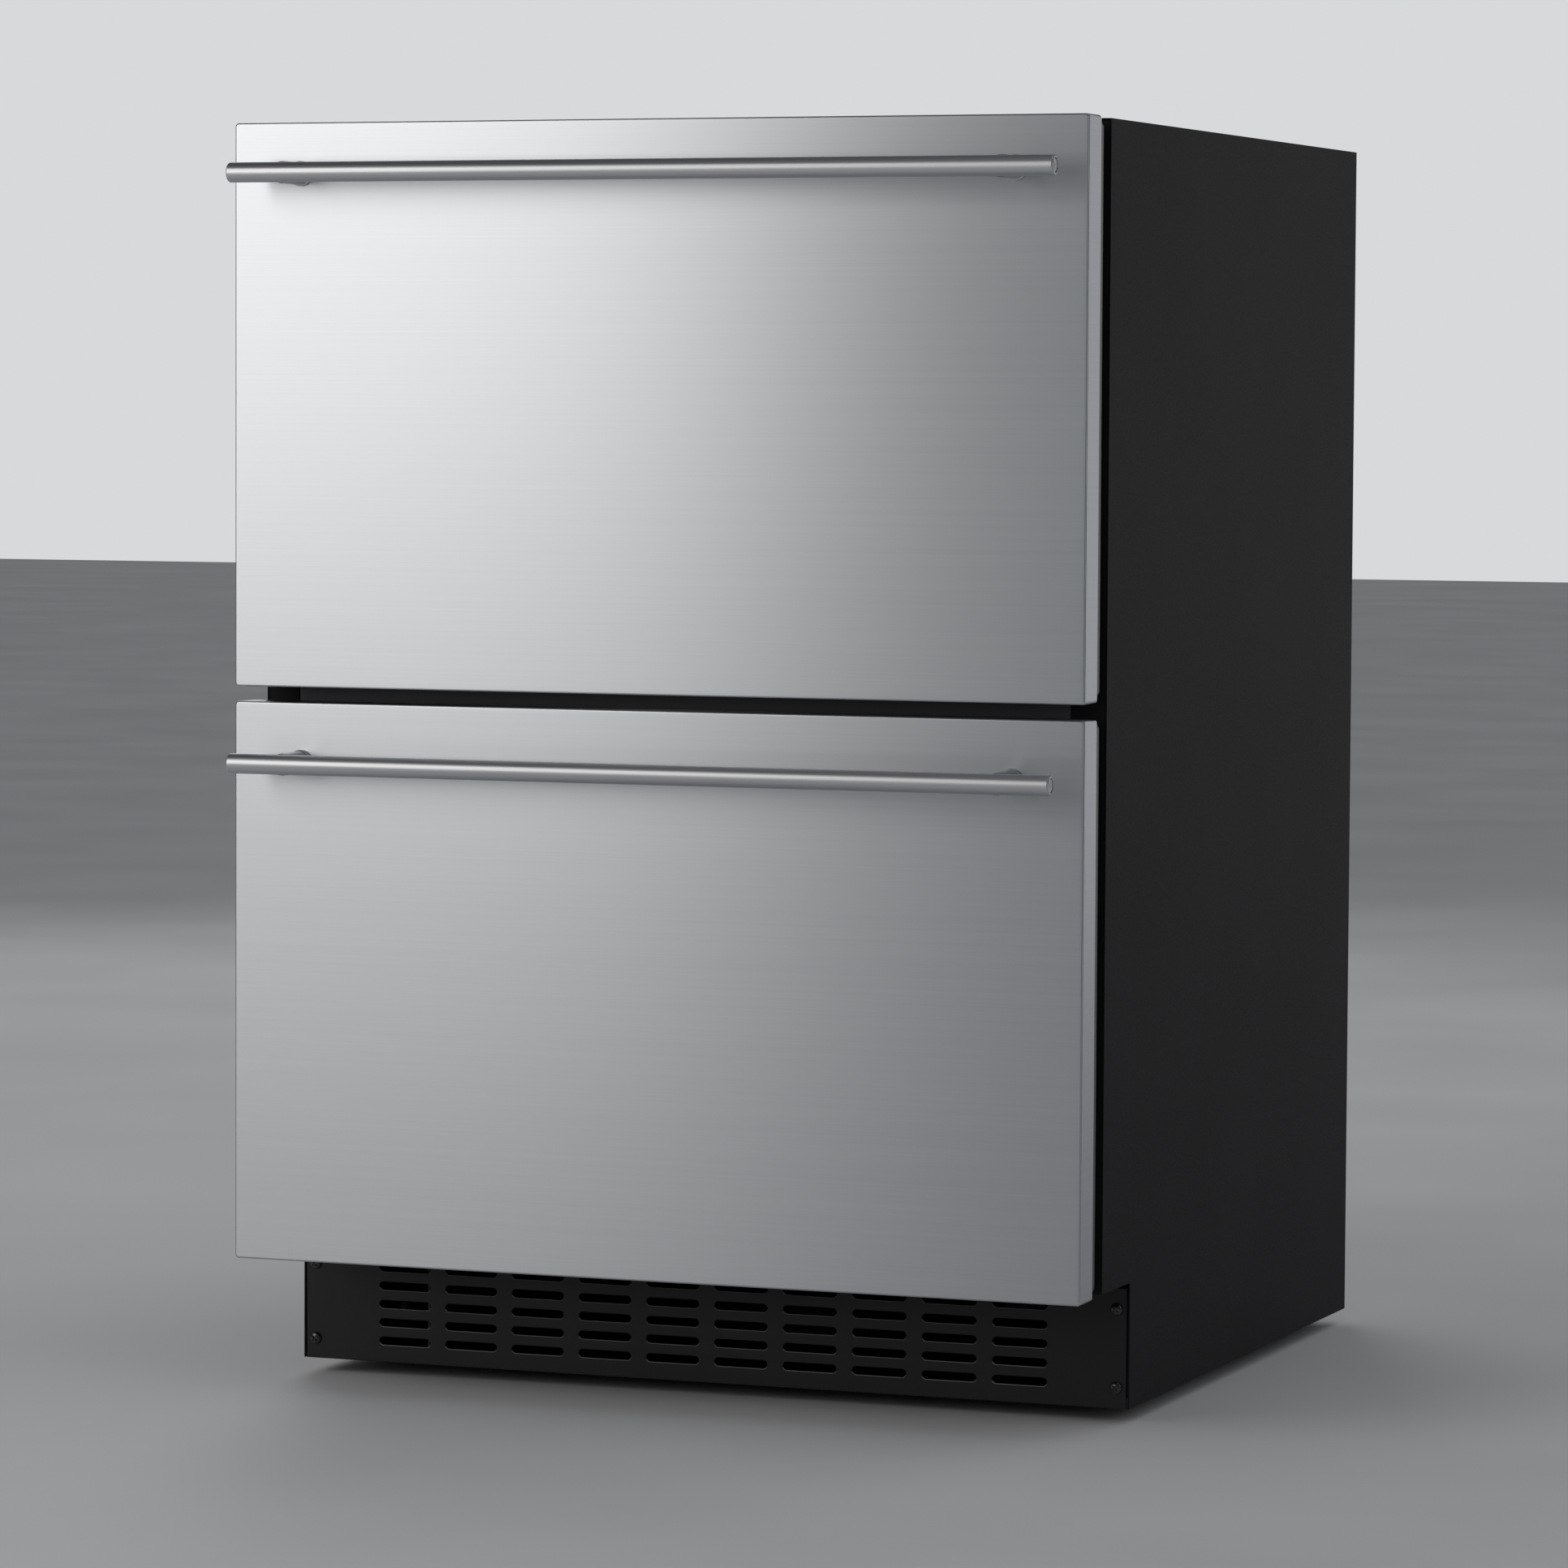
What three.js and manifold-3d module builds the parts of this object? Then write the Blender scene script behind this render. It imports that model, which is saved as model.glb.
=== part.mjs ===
// Two-drawer under counter fridge, 600 mm wide, with bar handles and a louvred kick plate.
//
// Millimetres, +Z up, the front faces -Y. The origin is on the floor, midway across the width and
// midway between the front of the handles and the back of the case.
// Inside the fridge group y runs backwards from the face of the drawer fronts (y = 0) and z runs up
// from the floor. Inside a drawer group z runs up from the lower edge of that drawer's front.

import * as THREE from 'three';
import { mergeVertices } from 'three/addons/utils/BufferGeometryUtils.js';
import Module from 'manifold-3d';

// ---------------------------------------------------------------- driving dimensions

// overall
const frontWidth = 600;            // drawer front, edge to edge
const overallHeight = 854;         // floor to the top of the upper drawer front
const caseDepth = 620;             // face of the drawer fronts to the back of the case
const floorClearance = 10;         // floor to the lower edge of the case
const gap = 0.3;                   // between two pieces that touch

// drawer fronts
const drawerGap = 10;              // between the two fronts
const returnDepth = 25;            // depth of the folded steel front
const skinSheet = 1;
const panelDepth = 16;             // inner panel behind the steel front
const panelInset = 3;              // inner panel, in from the edge of the front
const panelWall = 2.5;
const gasketDepth = 6.4;
const gasketInset = 7;             // gasket, in from the edge of the front
const gasketWidth = 16;

// handles
const barDiameter = 13.4;
const barStandoff = 32;            // face of the front to the bar's axis
const barEndInset = 11.5;          // end of the bar, in from the edge of the front
const barChamfer = 0.8;
const barPlugRadius = 4.6;
const barPlugDepth = 0.8;
const barPlugDraft = 0.3;          // widening of the plug recess at its mouth
const postInset = 37.5;            // axis of a post, in from the end of the bar
const postDiameter = 15;
const postSeat = 3;               // end of a post behind the axis of the bar
const upperBarDrop = 34;           // top of the front down to the bar's axis
const lowerBarDrop = 40;

// case
const sideReveal = 1;              // case side, in from the edge of the front
const caseSheet = 1.2;
const caseTopDrop = 1;             // top of the case, below the top of the front
const railReveal = 1.5;            // underside of the case, above the lower edge of the lower front
const stileWidth = 24;
const frameSheet = 1.5;
const mullionHeight = 56;
const mullionDepth = 30;
const wallThickness = 49;          // outside of the case to the inside of the liner, at the sides
const topThickness = 44;
const floorThickness = 50;
const backThickness = 50;
const linerWall = 2;

// kick plate and toe recess
const kickHeight = 80;
const kickTopGap = 2;              // kick plate to the lower front
const kickSetback = 107;           // face of the drawer fronts to the face of the kick plate
const kickSideGap = 2;             // end of the kick plate to the outside of the case
const kickSheet = 1.2;
const kickFlange = 15;
const slotLength = 38.2;
const slotHeight = 5.6;
const slotPitchX = 49.5;
const slotPitchZ = 12.7;
const slotMarginX = 50;
const slotMarginZ = 10;
const screwInset = 7;              // screw axis, in from the end of the kick plate
const screwMarginZ = 14;
const screwHeadRadius = 4.25;
const screwHeadHeight = 2.6;
const screwRadius = 2;
const screwLength = 9;
const screwClearance = 0.3;

// base tray and levelling feet
const trayRise = 8;                // underside of the tray floor, above the lower edge of the case
const traySheet = 1.5;
const trayWallHeight = 34;
const trayFrontDrop = 4;           // top of the tray's front wall, below the top of the kick plate
const trayWindowMargin = 24;
const trayWindowDrop = 6;          // window below the top of the tray's front wall
const footInsetX = 40;             // axis of a foot, in from the outside of the case
const footSetbackFront = 78;       // axis of a front foot, behind the kick plate
const footSetbackRear = 60;        // axis of a rear foot, in front of the back of the case
const footPadRadius = 14;
const footPadHeight = 6;
const footStudRadius = 5;
const footStudLength = 46;
const footStudClearance = 0.6;

// machine compartment, at the lower back
const machineDepth = 215;
const humpWall = 40;               // insulation and liner over and before the compartment
const coverInset = 6;              // rear cover, in from the back of the case
const louvreColumns = 2;
const louvreRows = 8;
const louvreLength = 120;
const louvreHeight = 6;
const louvrePitch = 16;
const louvreRise = 24;             // middle of the louvres above the middle of the rear cover
const compressorRadius = 78;
const compressorSideGap = 60;      // compressor shell to the outside of the case
const compressorPlateX = 176;
const compressorPlateY = 150;
const compressorPlateSheet = 3;
const compressorHeadroom = 60;     // top of the compressor to the compartment's ceiling
const terminalBox = 26;            // half-width of the compressor's terminal cover
const terminalStand = 8;           // terminal cover out of the shell
const terminalHeight = 42;
const dripTrayX = 190;
const dripTrayY = 150;
const dripTrayHeight = 24;
const dripTrayWall = 1.5;
const condenserThickness = 50;
const condenserStudGap = 6;        // condenser to the stud of the foot beside it
const condenserMargin = 12;
const condenserFins = 16;
const finSheet = 1.2;
const shroudGap = 16;              // condenser to the fan shroud
const shroudSheet = 2;
const shroudRingDepth = 24;
const fanTipGap = 4;
const fanEdge = 13;                // shroud plate left around the fan hole
const fanHubRadius = 20;
const fanHubDepth = 16;
const fanBlades = 5;
const fanBladeSheet = 1.6;
const fanPitch = THREE.MathUtils.degToRad(28);
const motorRadius = 28;
const motorLength = 38;
const motorArmWidth = 8;
const motorArmDepth = 4;
const inletWidth = 32;
const inletHeight = 26;
const inletDepth = 24;
const inletFlangeSheet = 2;
const inletFlange = 5;
const inletWall = 3;
const inletRise = 40;              // axis of the inlet above the tray floor

// evaporator, on the back wall of the upper compartment
const evapCoverDepth = 58;
const evapCoverHeight = 210;
const evapCoverSide = 25;          // side of the cover to the liner
const evapCoverTop = 15;           // top of the cover to the ceiling of the liner
const evapCoverWall = 2;
const evapFanRadius = 42;
const evapFanDrop = 62;            // fan axis below the top of the cover
const evapHubRadius = 15;
const evapHubDepth = 12;
const evapMotorRadius = 18;
const evapMotorLength = 20;
const evapCoilDepth = 34;
const evapCoilHeight = 78;
const evapCoilSide = 16;
const evapFins = 16;
const evapSlotLength = 60;
const evapSlotHeight = 6;
const evapSlotPitchX = 90;
const evapSlotPitchZ = 15;
const evapSlotRows = 2;
const evapSlotRise = 22;           // middle of the slots above the lower edge of the cover

// thermostat and lamp, on the ceiling of the upper compartment
const thermostatX = -70;
const thermostatWidth = 100;
const thermostatDepth = 70;
const thermostatHeight = 32;
const thermostatSetback = 62;      // front of the housing behind the front of the case
const knobRadius = 12;
const knobLength = 13;
const knobGripWidth = 5;
const lampX = 90;
const lampWidth = 150;
const lampDepth = 24;
const lampHeight = 10;

// bins and runners
const runnerSpace = 13;            // bin side to the liner
const runnerSheet = 1.5;
const runnerHeight = 45;
const runnerStep = 2.5;            // half-height lost from the cabinet member to the middle one
const drawerRunnerStep = 5.5;      // half-height lost from the cabinet member to the drawer one
const runnerReach = 10.2;          // lip of the cabinet member, across the runner space
const midReach = 5.5;
const drawerReach = 6.2;
const midWebGap = 4.2;             // cabinet member's back to the middle member's back
const runnerSetback = 4;           // front of the runners behind the mullion
const runnerRearGap = 38;          // back of the runners to the liner
const binWall = 1.5;
const binFloorGap = 8;             // bin floor above the compartment floor
const binRearGap = 40;             // back of the upper bin to the evaporator cover
const humpFrontGap = 18;           // back of the lower bin to the machine compartment's hump
const upperBinHeadroom = 90;
const lowerBinHeadroom = 41;
const upperRunnerRise = 18;        // lower edge of the runners above the bin floor
const lowerRunnerDrop = 18;        // rim of the lower bin down to the top of the runners
const humpRunnerGap = 15;          // lower runners to the hump under them

// ---------------------------------------------------------------- derived places

const caseHalf = frontWidth / 2 - sideReveal;
const caseInner = caseHalf - caseSheet - gap;
const caseFront = returnDepth + panelDepth + gasketDepth + 2 * gap;
const caseTop = overallHeight - caseTopDrop;
const kickTop = floorClearance + kickHeight;
const lowerFrontBottom = kickTop + kickTopGap;
const frontHeight = (overallHeight - lowerFrontBottom - drawerGap) / 2;
const upperFrontBottom = lowerFrontBottom + frontHeight + drawerGap;
const caseBottom = lowerFrontBottom + railReveal;
const frameTop = caseTop - caseSheet - gap;

const cavityHalf = caseHalf - wallThickness;
const cavityFloor = caseBottom + floorThickness;
const cavityTop = caseTop - topThickness;
const cavityBack = caseDepth - backThickness;
const mullionMiddle = upperFrontBottom - drawerGap / 2;
const mullionBottom = mullionMiddle - mullionHeight / 2;
const mullionTop = mullionMiddle + mullionHeight / 2;

const binHalf = cavityHalf - runnerSpace;
const upperBinFloor = mullionTop + binFloorGap;
const upperBinTop = cavityTop - upperBinHeadroom;
const lowerBinFloor = cavityFloor + binFloorGap;
const lowerBinTop = mullionBottom - lowerBinHeadroom;
const upperRunnerZ = upperBinFloor + upperRunnerRise + runnerHeight / 2;
const lowerRunnerZ = lowerBinTop - lowerRunnerDrop - runnerHeight / 2;
const runnerFront = caseFront + mullionDepth + runnerSetback;
const runnerBack = cavityBack - runnerRearGap;

const humpTop = lowerRunnerZ - runnerHeight / 2 - humpRunnerGap;
const humpFront = caseDepth - machineDepth - humpWall;
const machineCeiling = humpTop - humpWall;
const machineFront = caseDepth - machineDepth;
const coverY = caseDepth - coverInset - caseSheet;
const trayFloor = floorClearance + trayRise;
const trayTop = trayFloor + traySheet;

const evapCoverFront = cavityBack - evapCoverDepth;
const binFront = returnDepth + panelDepth + gap;
const upperBinBack = evapCoverFront - binRearGap;
const lowerBinBack = humpFront - humpFrontGap;

const barProjection = barStandoff + barDiameter / 2;
const overallDepth = barProjection + caseDepth;

// ---------------------------------------------------------------- solids

const wasm = await Module();
wasm.setup();

// A closed three.js geometry as a solid that can be joined and cut.
function toSolid(geometry) {
  const bare = geometry.clone();
  bare.deleteAttribute('normal');
  bare.deleteAttribute('uv');
  const merged = mergeVertices(bare, 1e-4);
  return new wasm.Manifold(new wasm.Mesh({
    numProp: 3,
    vertProperties: new Float32Array(merged.attributes.position.array),
    triVerts: new Uint32Array(merged.index.array),
  }));
}

function toGeometry(solid) {
  const mesh = solid.getMesh();
  const geometry = new THREE.BufferGeometry();
  geometry.setAttribute('position', new THREE.BufferAttribute(mesh.vertProperties, 3));
  geometry.setIndex(new THREE.BufferAttribute(mesh.triVerts, 1));
  geometry.computeVertexNormals();
  return geometry;
}

function join(...pieces) {
  return toGeometry(pieces.map(toSolid).reduce((whole, piece) => whole.add(piece)));
}

function cut(body, ...tools) {
  return toGeometry(tools.map(toSolid).reduce((rest, tool) => rest.subtract(tool), toSolid(body)));
}

function box(x0, x1, y0, y1, z0, z1) {
  const geometry = new THREE.BoxGeometry(x1 - x0, y1 - y0, z1 - z0);
  return geometry.translate((x0 + x1) / 2, (y0 + y1) / 2, (z0 + z1) / 2);
}

// A box that is the same on both sides of the middle plane.
function middleBox(halfX, y0, y1, z0, z1) {
  return box(-halfX, halfX, y0, y1, z0, z1);
}

const turns = {
  x: (geometry) => geometry.rotateZ(-Math.PI / 2),
  y: (geometry) => geometry,
  z: (geometry) => geometry.rotateX(Math.PI / 2),
};

// A round bar along an axis, from one place to another, through the given centre point.
function rod(axis, radius, from, to, centre, segments = 24) {
  const geometry = turns[axis](new THREE.CylinderGeometry(radius, radius, to - from, segments));
  const middle = new THREE.Vector3(...centre);
  middle[axis] = (from + to) / 2;
  return geometry.translate(middle.x, middle.y, middle.z);
}

// A turned piece: the profile holds [radius, height] pairs, and its axis is laid along X, Y or Z.
function turned(axis, profile, segments = 24) {
  const points = profile.map(([radius, height]) => new THREE.Vector2(radius, height));
  return turns[axis](new THREE.LatheGeometry(points, segments));
}

// A side outline of [y, z] points, extruded across the width from x0 to x1.
function sidePlate(outline, x0, x1) {
  const shape = new THREE.Shape(outline.map(([y, z]) => new THREE.Vector2(y, z)));
  const geometry = new THREE.ExtrudeGeometry(shape, { depth: x1 - x0, bevelEnabled: false });
  const toSide = new THREE.Matrix4().makeBasis(
    new THREE.Vector3(0, 1, 0), new THREE.Vector3(0, 0, 1), new THREE.Vector3(1, 0, 0));
  return geometry.applyMatrix4(toSide).translate(x0, 0, 0);
}

// A slot with round ends, in the plane of a panel that faces forwards.
function slotPath(x, z, length, height) {
  const radius = height / 2;
  const reach = length / 2 - radius;
  const path = new THREE.Path();
  path.absarc(x + reach, z, radius, -Math.PI / 2, Math.PI / 2);
  path.absarc(x - reach, z, radius, Math.PI / 2, 3 * Math.PI / 2);
  return path;
}

// A flat panel that faces forwards, with holes in it.
function frontPlate(x0, x1, z0, z1, y0, y1, holes) {
  const corners = [[x0, z0], [x1, z0], [x1, z1], [x0, z1]];
  const shape = new THREE.Shape(corners.map(([x, z]) => new THREE.Vector2(x, z)));
  shape.holes.push(...holes);
  const options = { depth: y1 - y0, bevelEnabled: false, curveSegments: 2 };
  return new THREE.ExtrudeGeometry(shape, options).rotateX(Math.PI / 2).translate(0, y1, 0);
}

// Evenly spaced places, centred on a middle value.
function spread(count, pitch, middle) {
  return Array.from({ length: count }, (_, i) => middle + (i - (count - 1) / 2) * pitch);
}

function countThatFits(span, margin, size, pitch) {
  return Math.floor((span - 2 * margin - size) / pitch) + 1;
}

// ---------------------------------------------------------------- materials

function finish(color, roughness, metalness) {
  return new THREE.MeshStandardMaterial({ color, roughness, metalness });
}

const materials = {
  stainless: finish('#a7abaf', 0.34, 1),
  barSteel: finish('#b4b7ba', 0.25, 1),
  blackPaint: finish('#1f2022', 0.5, 0.1),
  kickPaint: finish('#1b1b1d', 0.55, 0.1),
  blackScrew: finish('#26272a', 0.35, 0.6),
  darkSteel: finish('#2c2d30', 0.45, 0.3),
  galvanised: finish('#8e9397', 0.5, 0.9),
  foam: finish('#d9c98f', 0.95, 0),
  linerPlastic: finish('#4a4d50', 0.4, 0),
  panelPlastic: finish('#232427', 0.45, 0),
  gasket: finish('#141416', 0.75, 0),
  bin: finish('#a0a4a8', 0.38, 1),
  runner: finish('#b0b4b8', 0.3, 1),
  compressorPaint: finish('#17181a', 0.35, 0.2),
  aluminium: finish('#b6babd', 0.4, 1),
  fanPlastic: finish('#2a2b2e', 0.5, 0),
  coverPlastic: finish('#c9cccf', 0.4, 0),
  knobPlastic: finish('#dfe1e2', 0.35, 0),
  lamp: finish('#eef1f0', 0.25, 0),
  footPlastic: finish('#202124', 0.6, 0),
};

function place(group, name, geometry, material) {
  const mesh = new THREE.Mesh(geometry, material);
  mesh.name = name;
  group.add(mesh);
  return mesh;
}

// ---------------------------------------------------------------- case

// Side of the case, notched at the lower front for the toe recess, as deep as the kick plate's face.
function casePanelSide(side) {
  const outline = [
    [kickSetback, floorClearance],
    [caseDepth, floorClearance],
    [caseDepth, caseTop],
    [caseFront, caseTop],
    [caseFront, caseBottom],
    [kickSetback, caseBottom],
  ];
  const outside = side * caseHalf;
  const inside = side * (caseHalf - caseSheet);
  return sidePlate(outline, Math.min(outside, inside), Math.max(outside, inside));
}

function frontFrame() {
  const plate = middleBox(caseInner, caseFront, caseFront + frameSheet, caseBottom, frameTop);
  const opening = middleBox(caseHalf - stileWidth, caseFront - 1, caseFront + frameSheet + 1,
    caseBottom + stileWidth, caseTop - stileWidth);
  return cut(plate, opening);
}

// Outline of the food compartment, with the step over the machine compartment.
// The margin grows it outwards, from the inside of the liner.
function cavityOutline(front, margin) {
  return [
    [front, cavityFloor - margin],
    [humpFront + margin, cavityFloor - margin],
    [humpFront + margin, humpTop - margin],
    [cavityBack + margin, humpTop - margin],
    [cavityBack + margin, cavityTop + margin],
    [front, cavityTop + margin],
  ];
}

function innerLiner() {
  const flangeFront = caseFront + gap;
  const flangeBack = flangeFront + linerWall;
  const flangeHalf = caseHalf - stileWidth - gap;
  const shellHalf = cavityHalf + linerWall;
  const flange = middleBox(flangeHalf, flangeFront, flangeBack,
    caseBottom + stileWidth + gap, caseTop - stileWidth - gap);
  const outside = sidePlate(cavityOutline(flangeBack - 1, linerWall), -shellHalf, shellHalf);
  const inside = sidePlate(cavityOutline(flangeFront - 1, 0), -cavityHalf, cavityHalf);
  const mullionNotch = middleBox(flangeHalf + 1, flangeFront - 1, flangeBack + gap,
    mullionBottom - gap, mullionTop + gap);
  return cut(join(flange, outside), inside, mullionNotch);
}

function cabinetInsulation() {
  const front = caseFront + linerWall + 2 * gap;
  const back = caseDepth - caseSheet - gap;
  const block = sidePlate([
    [front, caseBottom + gap],
    [machineFront, caseBottom + gap],
    [machineFront, machineCeiling],
    [back, machineCeiling],
    [back, frameTop],
    [front, frameTop],
  ], -caseInner, caseInner);
  const linerHalf = cavityHalf + linerWall + gap;
  return cut(block, sidePlate(cavityOutline(front - 1, linerWall + gap), -linerHalf, linerHalf));
}

function mullion() {
  const platesMeet = caseFront + gap + linerWall;
  const facePlate = middleBox(caseHalf - stileWidth - gap, caseFront, platesMeet, mullionBottom, mullionTop);
  const beam = middleBox(cavityHalf - gap, platesMeet - 1, caseFront + mullionDepth,
    mullionBottom, mullionTop);
  return join(facePlate, beam);
}

function kickPlate() {
  const half = caseHalf - kickSideGap;
  const middleZ = floorClearance + kickHeight / 2;
  const columns = countThatFits(2 * half, slotMarginX, slotLength, slotPitchX);
  const rows = countThatFits(kickHeight, slotMarginZ, slotHeight, slotPitchZ);
  const slots = spread(columns, slotPitchX, 0).flatMap((x) =>
    spread(rows, slotPitchZ, middleZ).map((z) => slotPath(x, z, slotLength, slotHeight)));
  const plate = frontPlate(-half, half, floorClearance, kickTop,
    kickSetback, kickSetback + kickSheet, slots);
  const flange = middleBox(half, kickSetback, kickSetback + kickFlange, kickTop - kickSheet, kickTop);
  return cut(join(plate, flange), ...screwHoles(kickSetback, kickSetback + kickSheet));
}

function kickScrewPlaces() {
  const x = caseHalf - kickSideGap - screwInset;
  return [-x, x].flatMap((sideX) =>
    [floorClearance + screwMarginZ, kickTop - screwMarginZ].map((z) => [sideX, z]));
}

// Clearance holes for the kick plate's screws, through a sheet from y0 to y1.
function screwHoles(y0, y1) {
  const radius = screwRadius + screwClearance;
  return kickScrewPlaces().map(([x, z]) => rod('y', radius, y0 - 1, y1 + 1, [x, 0, z], 16));
}

// Pan-head screw along Y, its head facing forwards and its seat at y = 0.
function panScrew() {
  return turned('y', [
    [0, screwLength],
    [screwRadius, screwLength],
    [screwRadius, -gap],
    [screwHeadRadius, -gap],
    [screwHeadRadius, -screwHeadHeight * 0.45],
    [screwHeadRadius * 0.8, -screwHeadHeight * 0.88],
    [0, -screwHeadHeight],
  ].reverse(), 16);
}

// Folded floor tray with a windowed front wall for the cooling air.
function baseTray() {
  const front = kickSetback + kickSheet + gap;
  const back = coverY - gap;
  const frontTop = kickTop - trayFrontDrop;
  const floor = middleBox(caseInner, front, back, trayFloor, trayTop);
  const walls = [-1, 1].map((side) => box(
    Math.min(side * caseInner, side * (caseInner - traySheet)),
    Math.max(side * caseInner, side * (caseInner - traySheet)),
    front, back, trayFloor, trayFloor + trayWallHeight));
  const frontWall = middleBox(caseInner, front, front + traySheet, trayFloor, frontTop);
  const window = middleBox(caseInner - trayWindowMargin, front - 1, front + traySheet + 1,
    trayTop, frontTop - trayWindowDrop);
  const studHoles = footPlaces().map(([x, y]) =>
    rod('z', footStudRadius + footStudClearance, trayFloor - 1, trayTop + 1, [x, y, 0], 20));
  const holes = [...screwHoles(front, front + traySheet), ...studHoles];
  return cut(join(floor, ...walls, frontWall), window, ...holes);
}

function footPlaces() {
  const x = caseHalf - footInsetX;
  return [kickSetback + footSetbackFront, caseDepth - footSetbackRear].flatMap((y) =>
    [[-x, y], [x, y]]);
}

// Levelling foot: a round pad on the floor and a stud up through the tray.
function levellingFoot() {
  const padEdge = 1.2;
  return turned('y', [
    [0, 0],
    [footPadRadius - padEdge, 0],
    [footPadRadius, padEdge],
    [footPadRadius * 0.9, footPadHeight],
    [footStudRadius, footPadHeight],
    [footStudRadius, footStudLength],
    [0, footStudLength],
  ], 20).rotateX(Math.PI / 2);
}

function machineCover() {
  const top = machineCeiling - gap;
  const bottom = floorClearance + gap;
  const pitchX = caseHalf;
  const slots = spread(louvreColumns, pitchX, 0).flatMap((x) =>
    spread(louvreRows, louvrePitch, (top + bottom) / 2 + louvreRise).map((z) =>
      slotPath(x, z, louvreLength, louvreHeight)));
  const plate = frontPlate(-caseInner, caseInner, bottom, top, coverY, coverY + caseSheet, slots);
  const [x, z] = inletPlace();
  return cut(plate, box(x - inletWidth / 2 - gap, x + inletWidth / 2 + gap,
    coverY - 1, coverY + caseSheet + 1,
    z - inletHeight / 2 - gap, z + inletHeight / 2 + gap));
}

// ---------------------------------------------------------------- machinery

function inletPlace() {
  return [caseHalf / 2, trayTop + inletRise];
}

// Mains inlet: a socket body through the rear cover, with a flange outside it.
function powerInlet() {
  const [x, z] = inletPlace();
  const halfX = inletWidth / 2;
  const halfZ = inletHeight / 2;
  const flangeBack = coverY + caseSheet + gap + inletFlangeSheet;
  const body = box(x - halfX, x + halfX, coverY + caseSheet - inletDepth, flangeBack, z - halfZ, z + halfZ);
  const flange = box(x - halfX - inletFlange, x + halfX + inletFlange,
    flangeBack - inletFlangeSheet, flangeBack,
    z - halfZ - inletFlange, z + halfZ + inletFlange);
  const socket = box(x - halfX + inletWall, x + halfX - inletWall, flangeBack - inletDepth + inletWall,
    flangeBack + 1, z - halfZ + inletWall, z + halfZ - inletWall);
  return cut(join(body, flange), socket);
}

// Hermetic compressor on its mounting plate, centred on its own axis with its foot at z = 0.
function compressor() {
  const height = machineCeiling - trayTop - gap - compressorHeadroom;
  const shell = turned('y', [
    [0, 0.5],
    [compressorRadius * 0.78, 0.5],
    [compressorRadius * 0.96, height * 0.14],
    [compressorRadius, height * 0.3],
    [compressorRadius, height * 0.62],
    [compressorRadius * 0.93, height * 0.8],
    [compressorRadius * 0.7, height * 0.94],
    [compressorRadius * 0.35, height],
    [0, height],
  ], 28).rotateX(Math.PI / 2);
  const plate = box(-compressorPlateX / 2, compressorPlateX / 2, -compressorPlateY / 2, compressorPlateY / 2,
    0, compressorPlateSheet);
  const terminalZ = height * 0.34;
  const terminals = box(-compressorRadius - terminalStand, -compressorRadius * 0.8,
    -terminalBox, terminalBox, terminalZ, terminalZ + terminalHeight);
  return join(shell, plate, terminals);
}

function compressorPlace() {
  const x = caseHalf - compressorSideGap - compressorRadius;
  return [x, (machineFront + coverY) / 2, trayTop + gap];
}

// Shallow evaporating pan that sits on the compressor.
function dripTray() {
  const halfX = dripTrayX / 2;
  const halfY = dripTrayY / 2;
  const outside = box(-halfX, halfX, -halfY, halfY, 0, dripTrayHeight);
  const inside = box(-halfX + dripTrayWall, halfX - dripTrayWall,
    -halfY + dripTrayWall, halfY - dripTrayWall,
    dripTrayWall, dripTrayHeight + 1);
  return cut(outside, inside);
}

// A fin block whose core slab stands for the rows of tube. The fins stack along Y here.
function finBlock(thickness, width, height, fins) {
  const core = box(-thickness / 5, thickness / 5, -width / 2, width / 2, 0, height);
  const plates = spread(fins, (width - finSheet) / (fins - 1), 0).map((y) =>
    box(-thickness / 2, thickness / 2, y - finSheet / 2, y + finSheet / 2, 0, height));
  return join(core, ...plates);
}

const fanRadius = (machineDepth - coverInset - caseSheet) / 2 - fanEdge - fanTipGap - condenserMargin / 2;
const fanZ = trayTop + (machineCeiling - trayTop) / 2;
const fanY = (machineFront + coverY) / 2;
const studSide = caseHalf - footInsetX - footStudRadius;
const condenserX = -studSide + condenserStudGap + condenserThickness / 2;
const shroudX = condenserX + condenserThickness / 2 + shroudGap;

// Propeller on a round hub, its axis along Y and its middle at y = 0.
function propeller(radius, hubRadius, hubDepth) {
  const hub = rod('y', hubRadius, -hubDepth / 2, hubDepth / 2, [0, 0, 0], 20);
  const root = hubRadius * 0.8;
  const blades = Array.from({ length: fanBlades }, (_, i) => {
    const chord = hubDepth * 1.3;
    const blade = new THREE.BoxGeometry(chord, fanBladeSheet, radius * 0.985 - root);
    blade.rotateZ(fanPitch);
    blade.translate(0, 0, (radius * 0.985 + root) / 2);
    return blade.rotateY(2 * Math.PI * i / fanBlades);
  });
  return join(hub, ...blades);
}

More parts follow.
